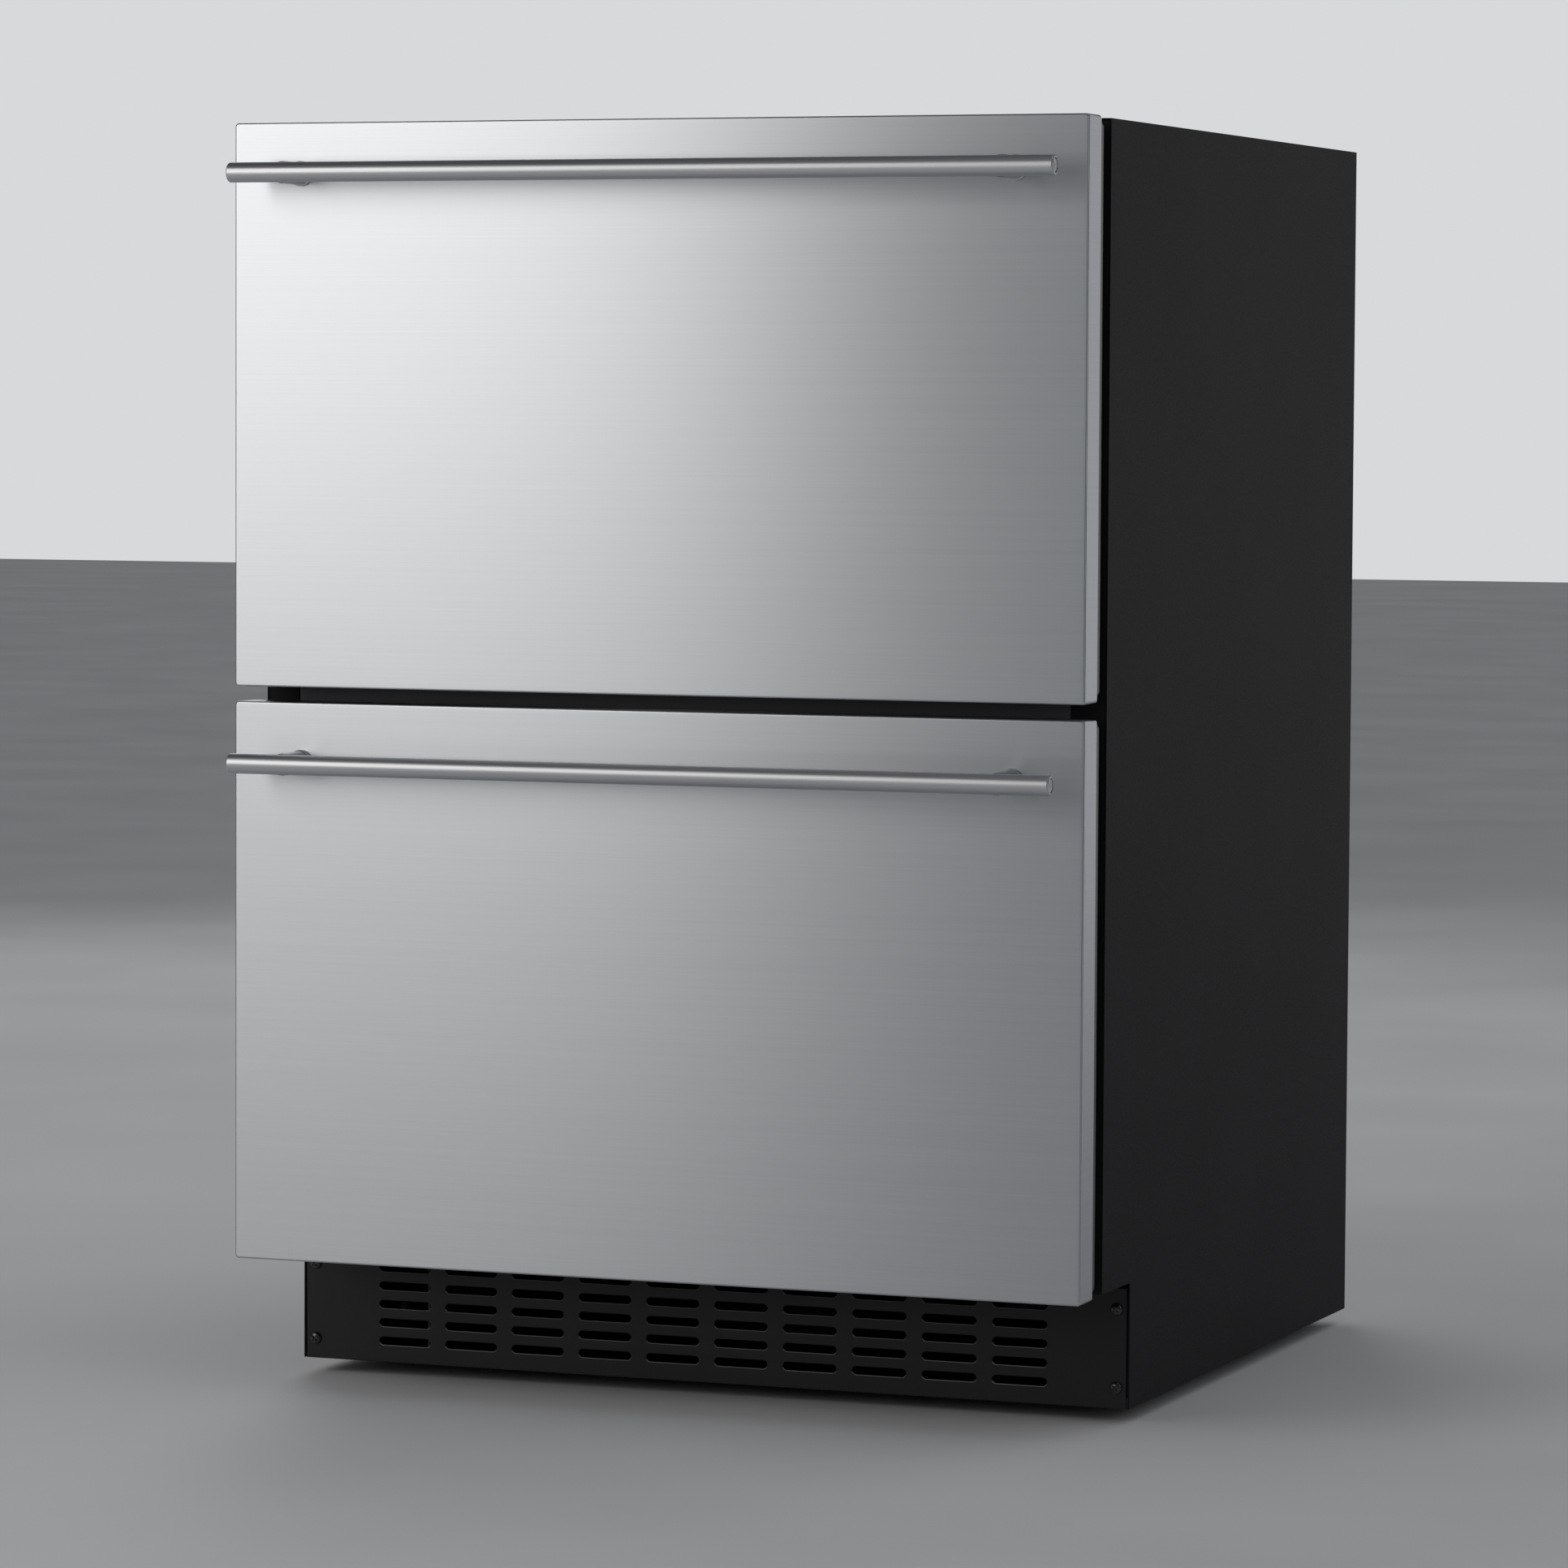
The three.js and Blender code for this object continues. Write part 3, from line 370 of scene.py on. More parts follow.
def brushed_stainless(name, dark, light, rough, along, streak_mm, anisotropy, turn=0.25):
    """Stainless steel sheet or bar, belt-brushed one way: fine scratches that stretch each reflection
    across them. The real scratches are 0.05 mm apart. They are drawn coarser, so that they just show."""
    made, tree, principled, place = start_material(
        name, Metallic=1.0, Anisotropic=anisotropy, Anisotropic_Rotation=turn)
    streak_length = 400
    size = [streak_mm] * 3
    size[along] = streak_length
    fine = grain(tree, place, size)
    uneven_colour(tree, principled, fine, dark, light)
    uneven_roughness(tree, principled, fine, rough * 0.97, rough * 1.03)
    fine_relief(tree, principled, fine, 0.002, 0.04)
    return made


def powder_coat(name, dark, light, rough, peel_mm=1.6, gloss=0.3):
    """Satin powder coat on steel: a soft, even sheen over a fine orange-peel texture, a little uneven
    in tone."""
    made, tree, principled, place = start_material(name, IOR=1.5, Specular_IOR_Level=gloss)
    uneven_colour(tree, principled, grain(tree, place, [140] * 3), dark, light)
    peel = grain(tree, place, [peel_mm] * 3)
    uneven_roughness(tree, principled, peel, rough * 0.92, rough * 1.08)
    fine_relief(tree, principled, peel, 0.03, 0.25)
    return made


def galvanised_sheet():
    """Hot-dip galvanised sheet: dull zinc crystals about 8 mm across, each a little lighter or duller."""
    made, tree, principled, place = start_material("galvanised_sheet", Metallic=0.6)
    crystal_mm = 8
    crystals = add_node(tree, "ShaderNodeTexVoronoi", [("Vector", place), ("Scale", 1 / (crystal_mm * M))])
    value = add_node(tree, "ShaderNodeSeparateColor", [(0, crystals.outputs["Color"])]).outputs[0]
    uneven_colour(tree, principled, value, "#b9bcbd", "#c4c7c8", 0, 1)
    uneven_roughness(tree, principled, value, 0.5, 0.58, 0, 1)
    fine_relief(tree, principled, grain(tree, place, [3] * 3), 0.003, 0.1)
    return made


def moulded_plastic(name, dark, light, rough, grain_mm=0.9, depth=0.02):
    """Injection-moulded ABS: a fine spark-eroded grain from the mould, and almost no colour change."""
    made, tree, principled, place = start_material(name, IOR=1.53)
    uneven_colour(tree, principled, grain(tree, place, [60] * 3), dark, light)
    spark = grain(tree, place, [grain_mm] * 3, 1)
    uneven_roughness(tree, principled, spark, rough * 0.9, rough * 1.1)
    fine_relief(tree, principled, spark, depth, 0.3)
    return made


def rubber(name, dark, light):
    """Soft black PVC seal: matt, with a faint bloom."""
    made, tree, principled, place = start_material(name, IOR=1.5, Sheen_Weight=0.12, Sheen_Roughness=0.5)
    bloom = grain(tree, place, [8] * 3, 3)
    uneven_colour(tree, principled, bloom, dark, light)
    uneven_roughness(tree, principled, bloom, 0.62, 0.78)
    fine_relief(tree, principled, grain(tree, place, [0.7] * 3, 1), 0.015, 0.3)
    return made


def plated_metal(name, dark, light, rough, blotch_mm=5):
    """Zinc, tin or oxide finish on small steel pieces: bright, with soft blotches from the bath."""
    made, tree, principled, place = start_material(name, Metallic=1.0)
    blotch = grain(tree, place, [blotch_mm] * 3, 3)
    uneven_colour(tree, principled, blotch, dark, light)
    uneven_roughness(tree, principled, blotch, rough * 0.93, rough * 1.07)
    fine_relief(tree, principled, grain(tree, place, [0.8] * 3), 0.003, 0.1)
    return made


def gloss_enamel(name, dark, light):
    """Stoved black enamel on pressed steel: a clear gloss coat that runs a little."""
    made, tree, principled, place = start_material(name, IOR=1.5, Coat_Weight=0.8, Coat_Roughness=0.06)
    run = grain(tree, place, [18, 18, 30])
    uneven_colour(tree, principled, run, dark, light)
    uneven_roughness(tree, principled, run, 0.28, 0.38)
    fine_relief(tree, principled, run, 0.15, 0.2)
    return made


def rigid_foam():
    """Foamed-in-place polyurethane: tan, with closed cells about 1.4 mm across and a darker skin."""
    made, tree, principled, place = start_material("polyurethane_foam", Roughness=0.92, IOR=1.45)
    cell_mm = 1.4
    cells = add_node(tree, "ShaderNodeTexVoronoi", [("Vector", place), ("Scale", 1 / (cell_mm * M))])
    uneven_colour(tree, principled, cells.outputs["Distance"], "#b79a5c", "#dcc88f", 0, 1)
    fine_relief(tree, principled, cells.outputs["Distance"], 0.3, 0.5)
    return made


def frosted_lens():
    """Frosted polycarbonate lamp cover: white, softly translucent, with fine ribs along its length."""
    made, tree, principled, place = start_material(
        "frosted_lens", Roughness=0.35, IOR=1.58, Subsurface_Weight=0.15)
    principled.inputs["Subsurface Radius"].default_value = (0.004, 0.004, 0.004)
    uneven_colour(tree, principled, grain(tree, place, [30] * 3, 1), "#e6eceb", "#f4f7f6")
    fine_relief(tree, principled, grain(tree, place, [80, 1.5, 1.5], 1), 0.05, 0.4)
    return made


def studio_floor():
    """Pale painted studio floor, nearly matt."""
    made, tree, principled, place = start_material("studio_floor_paint", IOR=1.4, Specular_IOR_Level=0.2)
    cloud = grain(tree, place, [400] * 3)
    uneven_colour(tree, principled, cloud, "#c1c2c4", "#c7c8ca")
    uneven_roughness(tree, principled, cloud, 0.55, 0.62)
    return made


FRONT_STEEL = brushed_stainless("brushed_stainless_front", "#c0c4c9", "#c5c8cc", 0.32, 0, 0.5, 0.75)
SIDE_STEEL = brushed_stainless("brushed_stainless_return", "#c0c3c8", "#c8cacf", 0.42, 1, 0.8, 0.4, 0)
BAR_STEEL = brushed_stainless("brushed_stainless_bar", "#c6c8cb", "#cccdd0", 0.4, 0, 0.9, 0.2, 0)
BIN_STEEL = brushed_stainless("brushed_stainless_bin", "#adb1b4", "#bcbfc2", 0.36, 1, 1.2, 0.4)
CASE_PAINT = powder_coat("black_powder_coat_case", "#17171a", "#1b1b1e", 0.6, 1.6, 0.08)
KICK_PAINT = powder_coat("black_powder_coat_kick_plate", "#141416", "#19191b", 0.4, 1.2, 0.35)
# Light grey paint for the lower rims of the kick plate's slots: a painted highlight where light would glint
# on the rims.
PAINTED_RIM_HIGHLIGHT = powder_coat("painted_highlight_on_slot_rims", "#8d8e91", "#a0a1a4", 0.3, 1.2, 1.0)
MULLION_PAINT = powder_coat("grey_powder_coat_mullion", "#3c3e43", "#424449", 0.45)
ZINC_SHEET = galvanised_sheet()
FRONT_PANEL_ABS = moulded_plastic("black_abs_inner_panel", "#1d1e20", "#242527", 0.42)
MACHINE_ABS = moulded_plastic("black_abs_machine_parts", "#1a1b1d", "#222326", 0.5)
LIGHT_ABS = moulded_plastic("light_grey_abs", "#c9cccd", "#d3d5d6", 0.38)
DIAL_ABS = moulded_plastic("white_abs_dial", "#dfe1e1", "#e8e9e9", 0.3)
LINER_HIPS = moulded_plastic("grey_polystyrene_liner", "#8d9194", "#979b9e", 0.34, 1.4, 0.01)
SEAL_RUBBER = rubber("black_pvc_seal", "#111113", "#18181a")
FOOT_ABS = moulded_plastic("black_nylon_foot", "#1c1d1f", "#252628", 0.55)
ZINC_PLATE = plated_metal("zinc_plated_steel", "#b3b6b9", "#bec1c4", 0.38)
SCREW_BLACK = gloss_enamel("black_screw_enamel", "#0d0e10", "#151619")
COPPER = plated_metal("drawn_copper_tube", "#a8653f", "#c98458", 0.3, 9)
FIN_ALUMINIUM = plated_metal("mill_finish_aluminium", "#b3b7ba", "#c8cbcd", 0.34, 12)
COMPRESSOR_ENAMEL = gloss_enamel("black_stoved_enamel", "#131416", "#1a1b1d")
FOAM = rigid_foam()
LENS = frosted_lens()


def show(obj, body, material, replaces=(), angle=35):
    """Puts a finished piece on its body, with its material and the CAD nodes it stands for."""
    obj.data.materials.clear()
    obj.data.materials.append(material)
    shade(obj, angle)
    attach(obj, body)
    if replaces:
        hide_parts(*replaces)
    return obj


# ---------------------------------------------------------------- drawers

def front_skin(drawer):
    """Folded steel front: a face with rounded bends, a seam behind them, and returns with a cut edge."""
    low, high = span(f"{drawer}_front_skin")
    bends = [(BEND_RADIUS * (1 - math.sin(a)), low.y + BEND_RADIUS * (1 - math.cos(a)))
             for a in [math.radians(15 * i) for i in range(7)]]
    rings = [(4, low.y, FRONT_CORNER)] + [(inset, y, FRONT_CORNER - inset * 0.5) for inset, y in bends]
    seam = low.y + BEND_RADIUS + 0.5
    seam_groove = [(0, seam), (SEAM_DEPTH, seam + 0.25), (SEAM_DEPTH, seam + 0.6), (0.06, seam + 0.85)]
    cut_edge = [(0.06, high.y - 0.3), (0.3, high.y), (0.8, high.y), (1, high.y - 0.3), (1, high.y - 6)]
    rings += [(inset, y, FRONT_CORNER) for inset, y in seam_groove + cut_edge]
    skin = pan(f"{drawer}_steel_front", 1, low, high, rings)
    show(skin, f"{drawer}_drawer", FRONT_STEEL, [f"{drawer}_front_skin"], 20)
    skin.data.materials.append(SIDE_STEEL)
    for face in skin.data.polygons:
        if abs(face.normal.x) > 0.9 and face.center.y > (seam + 0.8) * M:
            face.material_index = 1


def inner_panel(drawer):
    """Vacuum-formed inner panel: a lip over the foam, a rounded rim, a groove for the seal and a sunk
    field."""
    low, high = span(f"{drawer}_inner_panel")
    back = high.y
    lip = span(f"{drawer}_front_skin")[0].x + 0.6 - low.x
    rings = [
        (lip, low.y - 0.2, 2), (lip, low.y + 0.9, 2), (lip + 0.3, low.y + 1.2, 2),
        (-0.1, low.y + 1.3, 3.4), (0, low.y + 2, 3.5), (0.2, back - 2.2, 4), (0.8, back - 0.7, 4),
        (2.2, back, 4), (4.6, back, 4), (5.2, back - 0.5, 4), (5.4, back - 1.4, 4),
        (18.4, back - 1.4, 4), (18.8, back - 0.5, 4), (19.6, back, 5), (25, back, 8),
        (26.5, back - 0.6, 9), (29, back - 3.4, 10), (31, back - 4, 10), (52, back - 4, 10),
        (54, back - 3.4, 9), (56.5, back - 0.6, 8), (58, back, 8),
    ]
    panel = pan(f"{drawer}_moulded_inner_panel", 1, low, high, rings)
    show(panel, f"{drawer}_drawer", FRONT_PANEL_ABS, [f"{drawer}_inner_panel"], 40)


def gasket(drawer):
    """Magnetic bellows seal: a dart in the panel's groove, two folds and a flat magnet face, mitred at
    the corners."""
    low, high = span(f"{drawer}_gasket")
    front, back = low.y, high.y
    profile = [
        (1.0, front), (15.0, front), (15.4, front + 0.8), (13.4, front + 1.9), (13.2, front + 2.6),
        (15.6, front + 3.8), (15.8, back - 1.2), (15.0, back - 0.1), (13.6, back), (8.6, back),
        (8.2, back - 0.5), (7.8, back), (2.4, back), (1.0, back - 0.1), (0.2, back - 1.2),
        (0.4, front + 3.8), (2.8, front + 2.6),
        (2.6, front + 1.9), (0.6, front + 0.8),
    ]
    ring = picture_frame(f"{drawer}_bellows_seal", low, high, profile)
    show(ring, f"{drawer}_drawer", SEAL_RUBBER, [f"{drawer}_gasket"], 50)


def handle(drawer):
    """Round brushed bar with chamfered ends and a press-in end plug, on two saddle-ended posts."""
    low, high = span(f"{drawer}_handle_bar")
    centre = (low + high) / 2
    radius = (high.z - low.z) / 2
    half = (high.x - low.x) / 2
    body = f"{drawer}_drawer"
    plug = 0.66 * radius
    end_plug = [(0.3, half - 1.3), (0.55, half - 1.25), (1.0, half - 0.75), (plug - 0.4, half - 0.55),
                (plug, half - 0.75), (plug + 0.05, half - 1.1), (plug + 0.25, half - 1.1)]
    chamfer = [(plug + 0.3, half - 0.2), (plug + 0.5, half), (radius - 0.9, half),
               (radius - 0.35, half - 0.3), (radius - 0.06, half - 0.75), (radius, half - 1.2)]
    end = end_plug + chamfer
    profile = [(r, -x) for r, x in end] + [(r, x) for r, x in end[::-1]]
    bar = turned(f"{drawer}_handle_round_bar", 0, centre, profile, 64)
    show(bar, body, BAR_STEEL, [f"{drawer}_handle_bar"], 30)
    for side in ("left", "right"):
        node = f"{drawer}_handle_post_{side}"
        post_low, post_high = span(node)
        axis = (post_low + post_high) / 2
        post_radius = (post_high.x - post_low.x) / 2
        base = post_high.y + 0.25
        collar = [(0, 0), (0, 1.0), (0.02, 1.12), (0.07, 1.12), (0.09, 1.0), (0.13, 1.0)]
        stem = [(0.6, 1.0), (0.94, 1.0), (1, 0.97), (1, 0)]
        rings = []
        steps = 40
        for share, swell in collar + stem:
            around = post_radius * max(swell, 0.02)
            ring = []
            for i in range(steps):
                angle = 2 * math.pi * i / steps
                z = around * math.sin(angle)
                saddle = centre.y + math.sqrt(max(radius ** 2 - z ** 2, 1)) + 0.02
                y = base + (saddle - base) * share
                ring.append((axis.x + around * math.cos(angle), y, centre.z + z))
            rings.append(ring)
        post = loft(f"{drawer}_handle_saddle_post_{side}", rings)
        show(post, body, BAR_STEEL, [node], 40)


def bin_box(drawer):
    """Folded and welded steel bin: round corners, a rolled rim and pressed ribs in its floor."""
    low, high = span(f"{drawer}_bin")
    top = high.z
    corner = BIN_CORNER
    wall = 1.5
    outside = [(5, low.z, corner - 5), (2.2, low.z + 0.5, corner - 3), (0.6, low.z + 2.2, corner - 1),
               (0, low.z + 5, corner), (0, top - 2 * BIN_RIM, corner)]
    rim = [(0.2, top - 1.4 * BIN_RIM, corner), (0.2, top - 0.6 * BIN_RIM, corner),
           (0.9, top - 0.1, corner), (wall * 0.9, top, corner), (wall + 1.0, top - 0.3, corner),
           (wall + BIN_RIM * 0.8, top - BIN_RIM, corner - 2),
           (wall + BIN_RIM * 0.5, top - 1.8 * BIN_RIM, corner - 1),
           (wall, top - 2.2 * BIN_RIM, corner - 1)]
    inside = [(wall, low.z + 8, corner - wall), (wall + 0.6, low.z + 4.6, corner - 2),
              (wall + 2.6, low.z + 2.2, corner - 4), (wall + 6, low.z + wall, corner - 6)]
    tub = pan(f"{drawer}_bin_tub", 2, low, high, outside + rim + inside, 8)
    parts = [tub]
    ribs, rib_end, rib_width, rib_height = 5, 40, 14, 2.2
    for i in range(ribs):
        x = low.x + (high.x - low.x) * (i + 1) / (ribs + 1)
        parts.append(bead("rib", (x, low.y + rib_end, low.z + wall), (x, high.y - rib_end, low.z + wall),
                          rib_width, rib_height, 2))
    tub = join(f"{drawer}_folded_bin", *parts)
    show(tub, f"{drawer}_drawer", BIN_STEEL, [f"{drawer}_bin"], 35)


def runners(drawer):
    """Ball-bearing runners: three rolled channels a side, with their edges rounded by the rolling."""
    bodies = {"drawer": f"{drawer}_drawer", "mid": f"{drawer}_mid_runners", "cabinet": "cabinet"}
    for side in ("left", "right"):
        for member, body in bodies.items():
            node = f"{drawer}_{member}_runner_{side}"
            piece = refined(f"{drawer}_{member}_rolled_runner_{side}", node, 0.5, 3)
            show(piece, body, ZINC_PLATE, [node], 50)


def build_drawer(drawer):
    """All that slides out with one front, and the runner members that carry it."""
    front_skin(drawer)
    inner_panel(drawer)
    gasket(drawer)
    handle(drawer)
    bin_box(drawer)
    runners(drawer)
    keep(f"{drawer}_front_foam", FOAM)


# ---------------------------------------------------------------- kick plate and feet

def upright(y):
    """Puts a plane drawn in x and z upright, its middle at y."""
    return Matrix.Translation((0, y, 0)) @ Matrix.Rotation(math.pi / 2, 4, "X")


def kick_plate():
    """Punched and folded sheet: rows of round-ended slots with a painted highlight on their lower rims, and a
    top flange.
    """
    low, high = span("kick_plate")
    thickness, flange = 1.4, 1.2
    slot_length, slot_height, pitch_x, pitch_z = 38.2, 5.6, 49.5, 12.7
    columns, rows = 10, 5
    middle_z = (low.z + high.z) / 2
    slots = [slot_outline((c - (columns - 1) / 2) * pitch_x, middle_z + (r - (rows - 1) / 2) * pitch_z,
                          slot_length, slot_height)
             for c in range(columns) for r in range(rows)]
    outline = [(low.x, low.z), (high.x, low.z), (high.x, high.z), (low.x, high.z)]
    plate = sheet_with_holes("plate", outline, slots, thickness, RIM_EDGE, upright(low.y + thickness / 2))
    top = soft_box("flange", (low.x, low.y + 0.3, high.z - flange), (high.x, high.y, high.z), SHEET_EDGE)
    grille = join("punched_kick_plate", plate, top)
    show(grille, "cabinet", KICK_PAINT, ["kick_plate"], 30)
    grille.data.materials.append(PAINTED_RIM_HIGHLIGHT)
    margin_x, margin_z = 20, 8
    # Upward-facing faces on the slots' lower rims take the light grey paint, a painted highlight along each
    # rim.
    for face in grille.data.polygons:
        x, z = face.center.x / M, face.center.z / M
        among_slots = low.x + margin_x < x < high.x - margin_x and low.z + margin_z < z < high.z - margin_z
        if among_slots and abs(face.normal.y) < 0.93 and face.normal.z > 0.2:
            face.material_index = 1
    baffle_x, baffle_reach = -208, 60
    baffle = soft_box("air_baffle", (baffle_x - thickness, high.y - 6, low.z + 10),
                      (baffle_x, high.y + baffle_reach, high.z - 3), 0.4)
    show(baffle, "cabinet", MULLION_PAINT)


def pan_screw(name, node):
    """Pan head screw with a cross recess."""
    low, high = span(node)
    centre = Vector(((low.x + high.x) / 2, low.y, (low.z + high.z) / 2))
    radius = (high.x - low.x) / 2
    seat = 2.5
    shank, length = radius * 0.45, 9
    dome = [(0.01, 0), (radius * 0.2, 0.03), (radius * 0.45, 0.18), (radius * 0.68, 0.5),
            (radius * 0.86, 1.0), (radius * 0.97, 1.6), (radius, 2.1)]
    underside = [(radius, seat - 0.1), (radius * 0.9, seat), (shank, seat), (shank, length)]
    screw = turned(name, 1, centre, dome + underside, 32)
    half, recess_depth = radius * 0.6, 1.3
    for angle in (45, 135):
        bar = soft_box("recess", (-half, -0.6, -SCREW_CROSS / 2),
                       (half, recess_depth, SCREW_CROSS / 2), 0.2, 1)
        bar.data.transform(Matrix.Translation(centre * M) @ Matrix.Rotation(math.radians(angle), 4, "Y"))
        cutter = screw.modifiers.new("recess", "BOOLEAN")
        cutter.operation = "DIFFERENCE"
        cutter.object = bar
        bpy.context.view_layer.update()
        mesh = bpy.data.meshes.new_from_object(screw.evaluated_get(bpy.context.evaluated_depsgraph_get()))
        screw.modifiers.clear()
        screw.data = mesh
        bpy.data.objects.remove(bar)
    show(screw, "cabinet", SCREW_BLACK, [node], 30)


def levelling_foot(number):
    """Moulded foot pad, on a threaded stud."""
    node = f"levelling_foot_{number}"
    low, high = span(node)
    centre = Vector(((low.x + high.x) / 2, (low.y + high.y) / 2, low.z))
    radius = (high.x - low.x) / 2
    pad = turned(f"levelling_foot_pad_{number}", 2, centre, [
        (radius * 0.6, 0), (radius - 1.4, 0), (radius - 0.2, 0.5), (radius, 1.4), (radius * 0.97, 3.2),
        (radius * 0.9, 5.2), (radius * 0.8, 6), (radius * 0.4, 6)])
    show(pad, f"foot_{number}", FOOT_ABS, [node], 40)
    stud_radius, pitch = 5, 1.5
    root = stud_radius * 0.86
    height = high.z - low.z
    thread = [(root, 5.9)]
    along = 8.0
    while along < height - 2:
        thread += [(root, along), (stud_radius, along + pitch / 2)]
        along += pitch
    thread += [(root, along), (stud_radius * 0.7, height)]
    stud = turned(f"levelling_foot_stud_{number}", 2, centre, thread, 28)
    show(stud, f"foot_{number}", ZINC_PLATE)


# ---------------------------------------------------------------- case

def case_shell():
    """Painted sides, beaded top, the frame behind the fronts, the mullion and the sheet under the foam."""
    for side in ("left", "right"):
        node = f"side_panel_{side}"
        show(refined(f"case_side_{side}", node, 0.5, 3), "cabinet", CASE_PAINT, [node])
    low, high = span("top_panel")
    top = [refined("top", "top_panel", 0.4, 2)]
    bead_pitch, bead_end = 170, 70
    z = high.z - 0.05
    for x in (-bead_pitch, 0, bead_pitch):
        top.append(bead("bead", (x, low.y + bead_end, z), (x, high.y - bead_end, z), 16, 0.8, 2))
    show(join("case_top", *top), "cabinet", CASE_PAINT, ["top_panel"])
    show(refined("front_face_frame", "front_frame", 0.4, 2), "cabinet", CASE_PAINT,
         ["front_frame"])
    show(refined("mullion_bar", "mullion", 0.8, 3), "cabinet", MULLION_PAINT,
         ["mullion"])
    belly_low, belly_high = span("cabinet_insulation")
    machine_room_depth = 208
    step_y = span("machine_cover")[0].y - machine_room_depth
    belly = soft_box("belly_sheet", (belly_low.x, belly_low.y, belly_low.z - 0.6),
                     (belly_high.x, step_y, belly_low.z - 0.05), 0.2, 1)
    show(belly, "cabinet", CASE_PAINT)


def back_of_case():
    """Thin back sheet with pressed stiffening beads, and rivets along its edges."""
    low, high = span("back_panel")
    proud = 1.1
    face = high.y - proud
    sheet = [soft_box("sheet", (low.x, low.y, low.z), (high.x, face, high.z), 0.25, 2)]
    inset, corner_gap, cross_gap, rivet_edge = 60, 20, 50, 14
    x0, x1 = low.x + inset, high.x - inset
    z0, z1 = low.z + inset, high.z - inset
    mid_z = (z0 + z1) / 2
    border = [((x0, z0), (x1, z0)), ((x0, z1), (x1, z1)),
              ((x0, z0 + corner_gap), (x0, z1 - corner_gap)), ((x1, z0 + corner_gap), (x1, z1 - corner_gap))]
    cross = [((x0 + cross_gap, z0 + cross_gap), (x1 - cross_gap, z1 - cross_gap)),
             ((x0 + cross_gap, z1 - cross_gap), (-24, mid_z + 22)),
             ((24, mid_z - 22), (x1 - cross_gap, z0 + cross_gap))]
    for start, end in border + cross:
        sheet.append(bead("bead", (start[0], face - 0.02, start[1]), (end[0], face - 0.02, end[1]),
                          12, proud, 1))
    centre_z = (low.z + high.z) / 2
    for x in (low.x + rivet_edge, 0, high.x - rivet_edge):
        for z in (low.z + rivet_edge, centre_z, high.z - rivet_edge):
            if x or z != centre_z:
                sheet.append(turned("rivet", 1, Vector((x, face, z)), [
                    (3.4, -0.1), (3.4, 0.3), (2.6, 0.8), (0.5, proud)], 20))
    show(join("back_sheet", *sheet), "cabinet", ZINC_SHEET, ["back_panel"])


def machine_cover():
    """Rear cover: slots under shallow pressed hoods, screws along its edges, the mains inlet's cut-out."""
    low, high = span("machine_cover")
    thickness = high.y - low.y
    columns, rows, length, height = 2, 8, 120, 6
    column_pitch, row_pitch = 299, 16
    middle_z = (low.z + high.z) / 2 + row_pitch * 1.5
    places = [((c - (columns - 1) / 2) * column_pitch, middle_z + (r - (rows - 1) / 2) * row_pitch)
              for c in range(columns) for r in range(rows)]
    slots = [slot_outline(x, z, length, height) for x, z in places]
    inlet_low, inlet_high = span("power_inlet")
    flange = 4.7
    cut = [(inlet_low.x + flange, inlet_low.z + flange), (inlet_high.x - flange, inlet_low.z + flange),
           (inlet_high.x - flange, inlet_high.z - flange), (inlet_low.x + flange, inlet_high.z - flange)]
    outline = [(low.x, low.z), (high.x, low.z), (high.x, high.z), (low.x, high.z)]
    sheet_middle = upright(low.y + thickness / 2)
    parts = [sheet_with_holes("cover", outline, slots + [cut], thickness, 0.3, sheet_middle)]
    hood_width, hood_height, hood_rise = 9, 3.2, 2.6
    for x, z in places:
        ends = [(x + side * length / 2, high.y - 0.1, z + hood_rise) for side in (-1, 1)]
        parts.append(bead("hood", *ends, hood_width, hood_height, 1))
    screw_edge, screw_pitch = 12, 150
    for x in (low.x + screw_edge, -screw_pitch, 0, screw_pitch, high.x - screw_edge):
        for z in (low.z + screw_edge, high.z - screw_edge):
            parts.append(turned("screw", 1, Vector((x, high.y, z)), [
                (5.5, 0), (5.5, 0.5), (4, 0.7), (3.8, 1.8), (3.0, 2.5), (1.2, 2.8), (0.9, 2.0)], 24))
    show(join("louvred_machine_cover", *parts), "cabinet", ZINC_SHEET, ["machine_cover"])


def liner():
    """Vacuum-formed liner: the compartment's walls with rounded inner corners over the step."""
    show(refined("formed_liner", "inner_liner", 1.6, 3, 40), "cabinet", LINER_HIPS,
         ["inner_liner"])


# ---------------------------------------------------------------- machinery

def ring_of_wire(name, axis, centre, radius, wire):
    """A ring of round wire about an axis."""
    segments, sides = 48, 10
    u, v = [i for i in range(3) if i != axis]
    rings = []
    for i in range(segments):
        angle = 2 * math.pi * i / segments
        ring = []
        for k in range(sides):
            turn = 2 * math.pi * k / sides
            reach = radius + wire * math.cos(turn)
            point = [0, 0, 0]
            point[axis] = centre[axis] + wire * math.sin(turn)
            point[u] = centre[u] + reach * math.cos(angle)
            point[v] = centre[v] + reach * math.sin(angle)
            ring.append(tuple(point))
        rings.append(ring)
    return loft(name, rings, closed=True)


